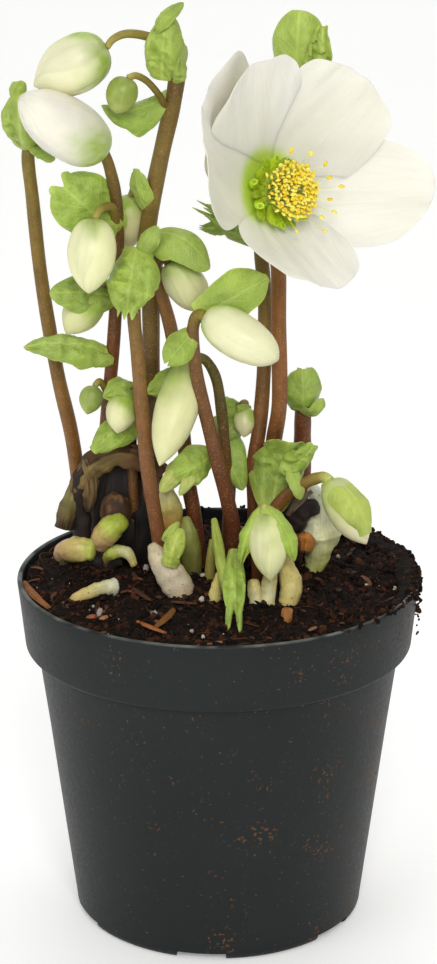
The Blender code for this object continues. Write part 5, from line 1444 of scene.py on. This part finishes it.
# The larger chips that lie in view: middle, direction on the soil, length, half-width and colour
BIG_CHIPS = [
    ((-19.3, -38.0), (8.6, -10.9), 13.5, 1.0, rgb(150, 88, 44)),
    ((-15.5, -33.0), (5.5, 14.1), 14.0, 1.3, rgb(116, 72, 26)),
    ((-10.1, -23.8), (7.0, -3.2), 8.0, 0.8, rgb(84, 46, 26)),
    ((-22.4, -16.4), (8.4, -16.4), 12.0, 1.0, rgb(70, 38, 24)),
    ((-36.8, -29.8), (2.0, -1.0), 3.0, 1.5, rgb(140, 82, 50)),
    ((-33.2, -31.4), (2.0, 0.6), 2.6, 1.1, rgb(156, 104, 68)),
    ((-1.0, -50.5), (3.0, -0.4), 4.4, 0.9, rgb(130, 84, 52)),
    ((26.9, -40.0), (2.0, 0.8), 2.6, 0.8, rgb(132, 90, 60)),
    ((30.0, 20.0), (2.0, 5.0), 9.0, 0.9, rgb(76, 44, 26)),
    ((-12.0, 34.0), (6.0, 3.0), 11.0, 1.2, rgb(96, 56, 30)),
    ((8.0, 44.0), (5.0, -4.0), 8.0, 1.0, rgb(86, 50, 30)),
    ((-54.0, -12.0), (10.3, -26.6), 24.0, 1.5, rgb(140, 86, 44)),
]
middles = np.array([c[0] for c in BIG_CHIPS])
directions = unit(np.array([[*c[1], 0.6] for c in BIG_CHIPS], float))
places = np.stack([middles[:, 0], middles[:, 1], soil_height(middles[:, 0], middles[:, 1]) + 0.9], -1)
wide = np.array([c[3] for c in BIG_CHIPS])
long = np.array([c[2] for c in BIG_CHIPS])
big = sticks_along(places, directions, long, wide, wide * 0.5, long * 0.04, np.array([c[4] for c in BIG_CHIPS]))
bark, tree, shader, tint = finish("bark", 0.7)
soft = placed(tree, mottle, Colour=tint, Size=500.0, Strength=0.8)
tree.links.new(soft.outputs[0], shader.inputs["Base Color"])
bumped(tree, shader, soft.outputs[1], 0.5)
piece("compost_chips", [chips, big], [bark])

# %% [markdown]
# The pot is turned from one profile in thin moulded plastic, with rounded lips. The notches in its foot and
# its drain holes are cut by Boolean modifiers, because that is how a mould's side cores make them.

# %% Pot body
POT_RADIUS, POT_HEIGHT, BAND_HEIGHT = 60, 107, 21
BAND_FOOT_RADIUS, SHOULDER_RADIUS, BASE_RADIUS = 58, 54.4, 43.5
WALL, LIP, FOOT_HEIGHT, PAD_RADIUS, CHANNEL_RADIUS = 1.1, 1.6, 2.8, 20, 37
NOTCHES, NOTCH_WIDTH, FIRST_NOTCH = 6, 15, math.radians(-97)
DRAIN_HOLES, DRAIN_RADIUS, DRAIN_CIRCLE = 6, 3.5, 30
shoulder = POT_HEIGHT - BAND_HEIGHT


def arc(centre, radius, start, end, count=5):
    """Points on an arc, angles in degrees, in the plane of radius and height."""
    angle = np.radians(np.linspace(start, end, count))
    return [(centre[0] + radius * c, centre[1] + radius * s) for c, s in zip(np.cos(angle), np.sin(angle))]


outer_foot = BASE_RADIUS + (SHOULDER_RADIUS - BASE_RADIUS) * 2.5 / shoulder
profile = [(0.3, WALL), (PAD_RADIUS - WALL, WALL), (PAD_RADIUS, FOOT_HEIGHT + WALL),
           (outer_foot - WALL, FOOT_HEIGHT + WALL), (SHOULDER_RADIUS - WALL, shoulder + 0.4),
           (BAND_FOOT_RADIUS - WALL, shoulder + 1.3), (POT_RADIUS - LIP, POT_HEIGHT - LIP)]
profile += arc((POT_RADIUS - 0.8, POT_HEIGHT - 0.8), 0.8, 160, 0, 9)
profile += [(POT_RADIUS - 0.7, POT_HEIGHT - 7), (BAND_FOOT_RADIUS + 0.4, shoulder + 5)]
profile += arc((BAND_FOOT_RADIUS - 1.1, shoulder + 1.1), 1.1, 0, -80, 6)
profile += [(SHOULDER_RADIUS + 0.9, shoulder - 0.1)]
profile += arc((SHOULDER_RADIUS + 0.8, shoulder - 0.9), 0.8, 90, 180, 5)
profile += [(SHOULDER_RADIUS - 3.2, shoulder - 25), (BASE_RADIUS + 3.4, 27)]
profile += arc((BASE_RADIUS - 2.3, 2.6), 2.6, 4, -90, 8)
profile += [(CHANNEL_RADIUS, 0), (CHANNEL_RADIUS - 0.5, FOOT_HEIGHT), (PAD_RADIUS + 1, FOOT_HEIGHT),
            (PAD_RADIUS + 0.5, 0), (0.3, 0)]
rings = turned(profile, 200)
turn = np.broadcast_to(np.arange(200) / 200 * math.tau, rings.shape[:2])
squeeze = 1 + 0.004 * np.sin(2 * turn + 0.6) * step(rings[..., 2], 60, 107)
rings = rings * np.stack([squeeze, squeeze, np.ones_like(squeeze)], -1)
parts = [closed(rings, np.broadcast_to(rgb(58, 63, 66), rings.shape), rings * 0)]

pot_plastic = bpy.data.materials.new("pot_plastic")
pot = piece("pot_moulded", parts, [pot_plastic], ["pot"])

cutters = bpy.data.collections.new("cutters")
for index in range(NOTCHES):
    angle = FIRST_NOTCH + math.tau * index / NOTCHES
    bpy.ops.mesh.primitive_cube_add(size=1)
    notch = bpy.context.object
    notch.scale = ((BASE_RADIUS - CHANNEL_RADIUS + 6) * MM, NOTCH_WIDTH * MM, (FOOT_HEIGHT + 2.6) * MM)
    middle = (CHANNEL_RADIUS + BASE_RADIUS) / 2
    notch.location = (middle * math.cos(angle) * MM, middle * math.sin(angle) * MM, -0.3 * MM)
    notch.rotation_euler = (0, 0, angle)
    cutters.objects.link(notch)
    angle += math.pi / DRAIN_HOLES
    bpy.ops.mesh.primitive_cylinder_add(vertices=32, radius=DRAIN_RADIUS * MM, depth=9 * MM)
    hole = bpy.context.object
    hole.location = (DRAIN_CIRCLE * math.cos(angle) * MM, DRAIN_CIRCLE * math.sin(angle) * MM, FOOT_HEIGHT * MM)
    cutters.objects.link(hole)
cut = pot.modifiers.new("cut", "BOOLEAN")
cut.operand_type = "COLLECTION"
cut.collection = cutters
cut.solver = "EXACT"
bpy.context.view_layer.update()
graph = bpy.context.evaluated_depsgraph_get()
solid = bpy.data.meshes.new_from_object(pot.evaluated_get(graph))
pot.modifiers.clear()
pot.data = solid
solid.name = "pot_moulded"
for tool in list(cutters.objects):
    bpy.data.objects.remove(tool)
bpy.data.collections.remove(cutters)
print("pot has", len(solid.polygons), "faces after its cuts")

# %% Pot plastic
pot_plastic.use_nodes = True
tree = pot_plastic.node_tree
shader = tree.nodes["Principled BSDF"]
spot = add(tree, "ShaderNodeTexCoord").outputs["Object"]
soft = placed(tree, mottle, Colour=opaque(rgb(27, 31, 31)), Size=22.0, Strength=0.25)
fine = placed(tree, mottle, Colour=soft.outputs[0], Size=900.0, Strength=0.16)
shader.inputs["Specular IOR Level"].default_value = 0.17
axes = add(tree, "ShaderNodeSeparateXYZ", Vector=spot).outputs
dirt_side = eased(tree, axes["X"], -0.012, 0.045)
dust = add(tree, "ShaderNodeTexNoise", Vector=spot, Scale=900.0, Detail=2.0, Roughness=0.5).outputs[0]
dust_and_highlight_patches = add(tree, "ShaderNodeTexNoise", Vector=spot, Scale=75.0, Detail=2.0).outputs[0]
dust = maths(tree, "ADD", dust, maths(tree, "MULTIPLY", maths(tree, "SUBTRACT", dust_and_highlight_patches, 0.5), 0.55))
dust = maths(tree, "ADD", dust, maths(tree, "MULTIPLY", dirt_side, 0.07))
dust = eased(tree, dust, 0.735, 0.78)
marked_colour = blended(tree, dust, fine.outputs[0], opaque(rgb(92, 62, 38)))
stain = add(tree, "ShaderNodeTexNoise", Vector=spot, Scale=120.0, Detail=4.0, Roughness=0.65).outputs[0]
reach = maths(tree, "MULTIPLY", eased(tree, axes["X"], 0.046, 0.059), eased(tree, axes["Z"], 0.082, 0.092))
stain = eased(tree, maths(tree, "ADD", stain, maths(tree, "MULTIPLY", reach, 0.42)), 0.68, 0.80)
stain = maths(tree, "MULTIPLY", stain, eased(tree, axes["Z"], 0.080, 0.088))
marked_colour = blended(tree, stain, marked_colour, opaque(rgb(22, 17, 14)))
# A thin line along the top of the rim is lighter grey in patches: a painted highlight.
painted_rim_highlight = maths(tree, "MULTIPLY", eased(tree, axes["Z"], 0.1063, 0.1069), eased(tree, dust_and_highlight_patches, 0.38, 0.60))
marked_colour = blended(tree, maths(tree, "MULTIPLY", painted_rim_highlight, 0.8), marked_colour, opaque(rgb(112, 116, 110)))
lint = placed(tree, speckle, Colour=marked_colour, Dots=opaque(rgb(92, 90, 82)), Size=1100.0, Amount=-0.34)
tree.links.new(lint.outputs[0], shader.inputs["Base Color"])
rough = eased(tree, fine.outputs[1], 0.3, 0.7, 0.42, 0.54)
tree.links.new(maths(tree, "ADD", rough, maths(tree, "MULTIPLY", dust, 0.3)), shader.inputs["Roughness"])
bumped(tree, shader, fine.outputs[1], 0.05)
print("pot plastic made")

# %% [markdown]
# A plain pale floor curves up behind the pot, so no edge shows from the camera. A soft lamp in front gives most
# of the light, and two larger ones at the left and above, with a pale sky, keep the shadows soft.

# %% Floor, lamps and sky
FLOOR_SIZE, FLOOR_BEND = 3.0, 0.9
t = np.linspace(0, 1, 60)
flat_y = np.where(t < 0.5, -FLOOR_SIZE + t * 2 * (FLOOR_SIZE + FLOOR_BEND), 0)
curve = (t - 0.5) * 2 * (math.pi / 2)
floor_y = np.where(t < 0.5, flat_y, FLOOR_BEND + np.sin(curve) * FLOOR_BEND)
floor_z = np.where(t < 0.5, 0, FLOOR_BEND - np.cos(curve) * FLOOR_BEND)
floor_y = np.append(floor_y, floor_y[-1])
floor_z = np.append(floor_z, 4.0)
points = np.stack([np.stack([np.full(61, side), floor_y, floor_z], -1) for side in (-4.0, 4.0)], 1).reshape(-1, 3)
faces = [(2 * k, 2 * k + 1, 2 * k + 3, 2 * k + 2) for k in range(60)]
mesh = bpy.data.meshes.new("floor")
mesh.from_pydata(points.tolist(), [], faces)
mesh.shade_smooth()
floor = bpy.data.objects.new("floor", mesh)
bpy.context.scene.collection.objects.link(floor)
paper = bpy.data.materials.new("paper")
paper.use_nodes = True
tree = paper.node_tree
shader = tree.nodes["Principled BSDF"]
grain = placed(tree, mottle, Colour=(0.90, 0.90, 0.89, 1), Size=400.0, Strength=0.02)
tree.links.new(grain.outputs[0], shader.inputs["Base Color"])
shader.inputs["Roughness"].default_value = 0.9
shader.inputs["Emission Color"].default_value = (1.0, 1.0, 1.0, 1)
shader.inputs["Emission Strength"].default_value = 0.20
mesh.materials.append(paper)


def lamp(name, place, aim, size, power, colour):
    """A square soft lamp at a place, turned to a point."""
    light = bpy.data.lights.new(name, "AREA")
    light.size = size
    light.energy = power
    light.color = colour
    made = bpy.data.objects.new(name, light)
    bpy.context.scene.collection.objects.link(made)
    made.location = place
    away = np.array(place) - np.array(aim)
    made.rotation_euler = (math.atan2(math.hypot(away[0], away[1]), away[2]), 0,
                           math.atan2(away[1], away[0]) + math.pi / 2)
    return made


lamp("key", (0.10, -1.40, 1.0), (0, 0, 0.15), 0.55, 13.5, (1.0, 0.985, 0.955))
lamp("fill", (-1.2, -0.9, 0.8), (0, 0, 0.15), 1.0, 5, (0.98, 0.99, 1.0))
lamp("top", (0.1, 0.5, 1.6), (0, 0, 0.15), 1.0, 5, (1.0, 1.0, 1.0))
world = bpy.data.worlds.new("sky")
bpy.context.scene.world = world
world.use_nodes = True
world.node_tree.nodes["Background"].inputs["Color"].default_value = (1.0, 1.0, 1.0, 1)
world.node_tree.nodes["Background"].inputs["Strength"].default_value = 0.48
bpy.context.scene.view_settings.view_transform = "Standard"
print("triangles in all:", TOTAL["triangles"])
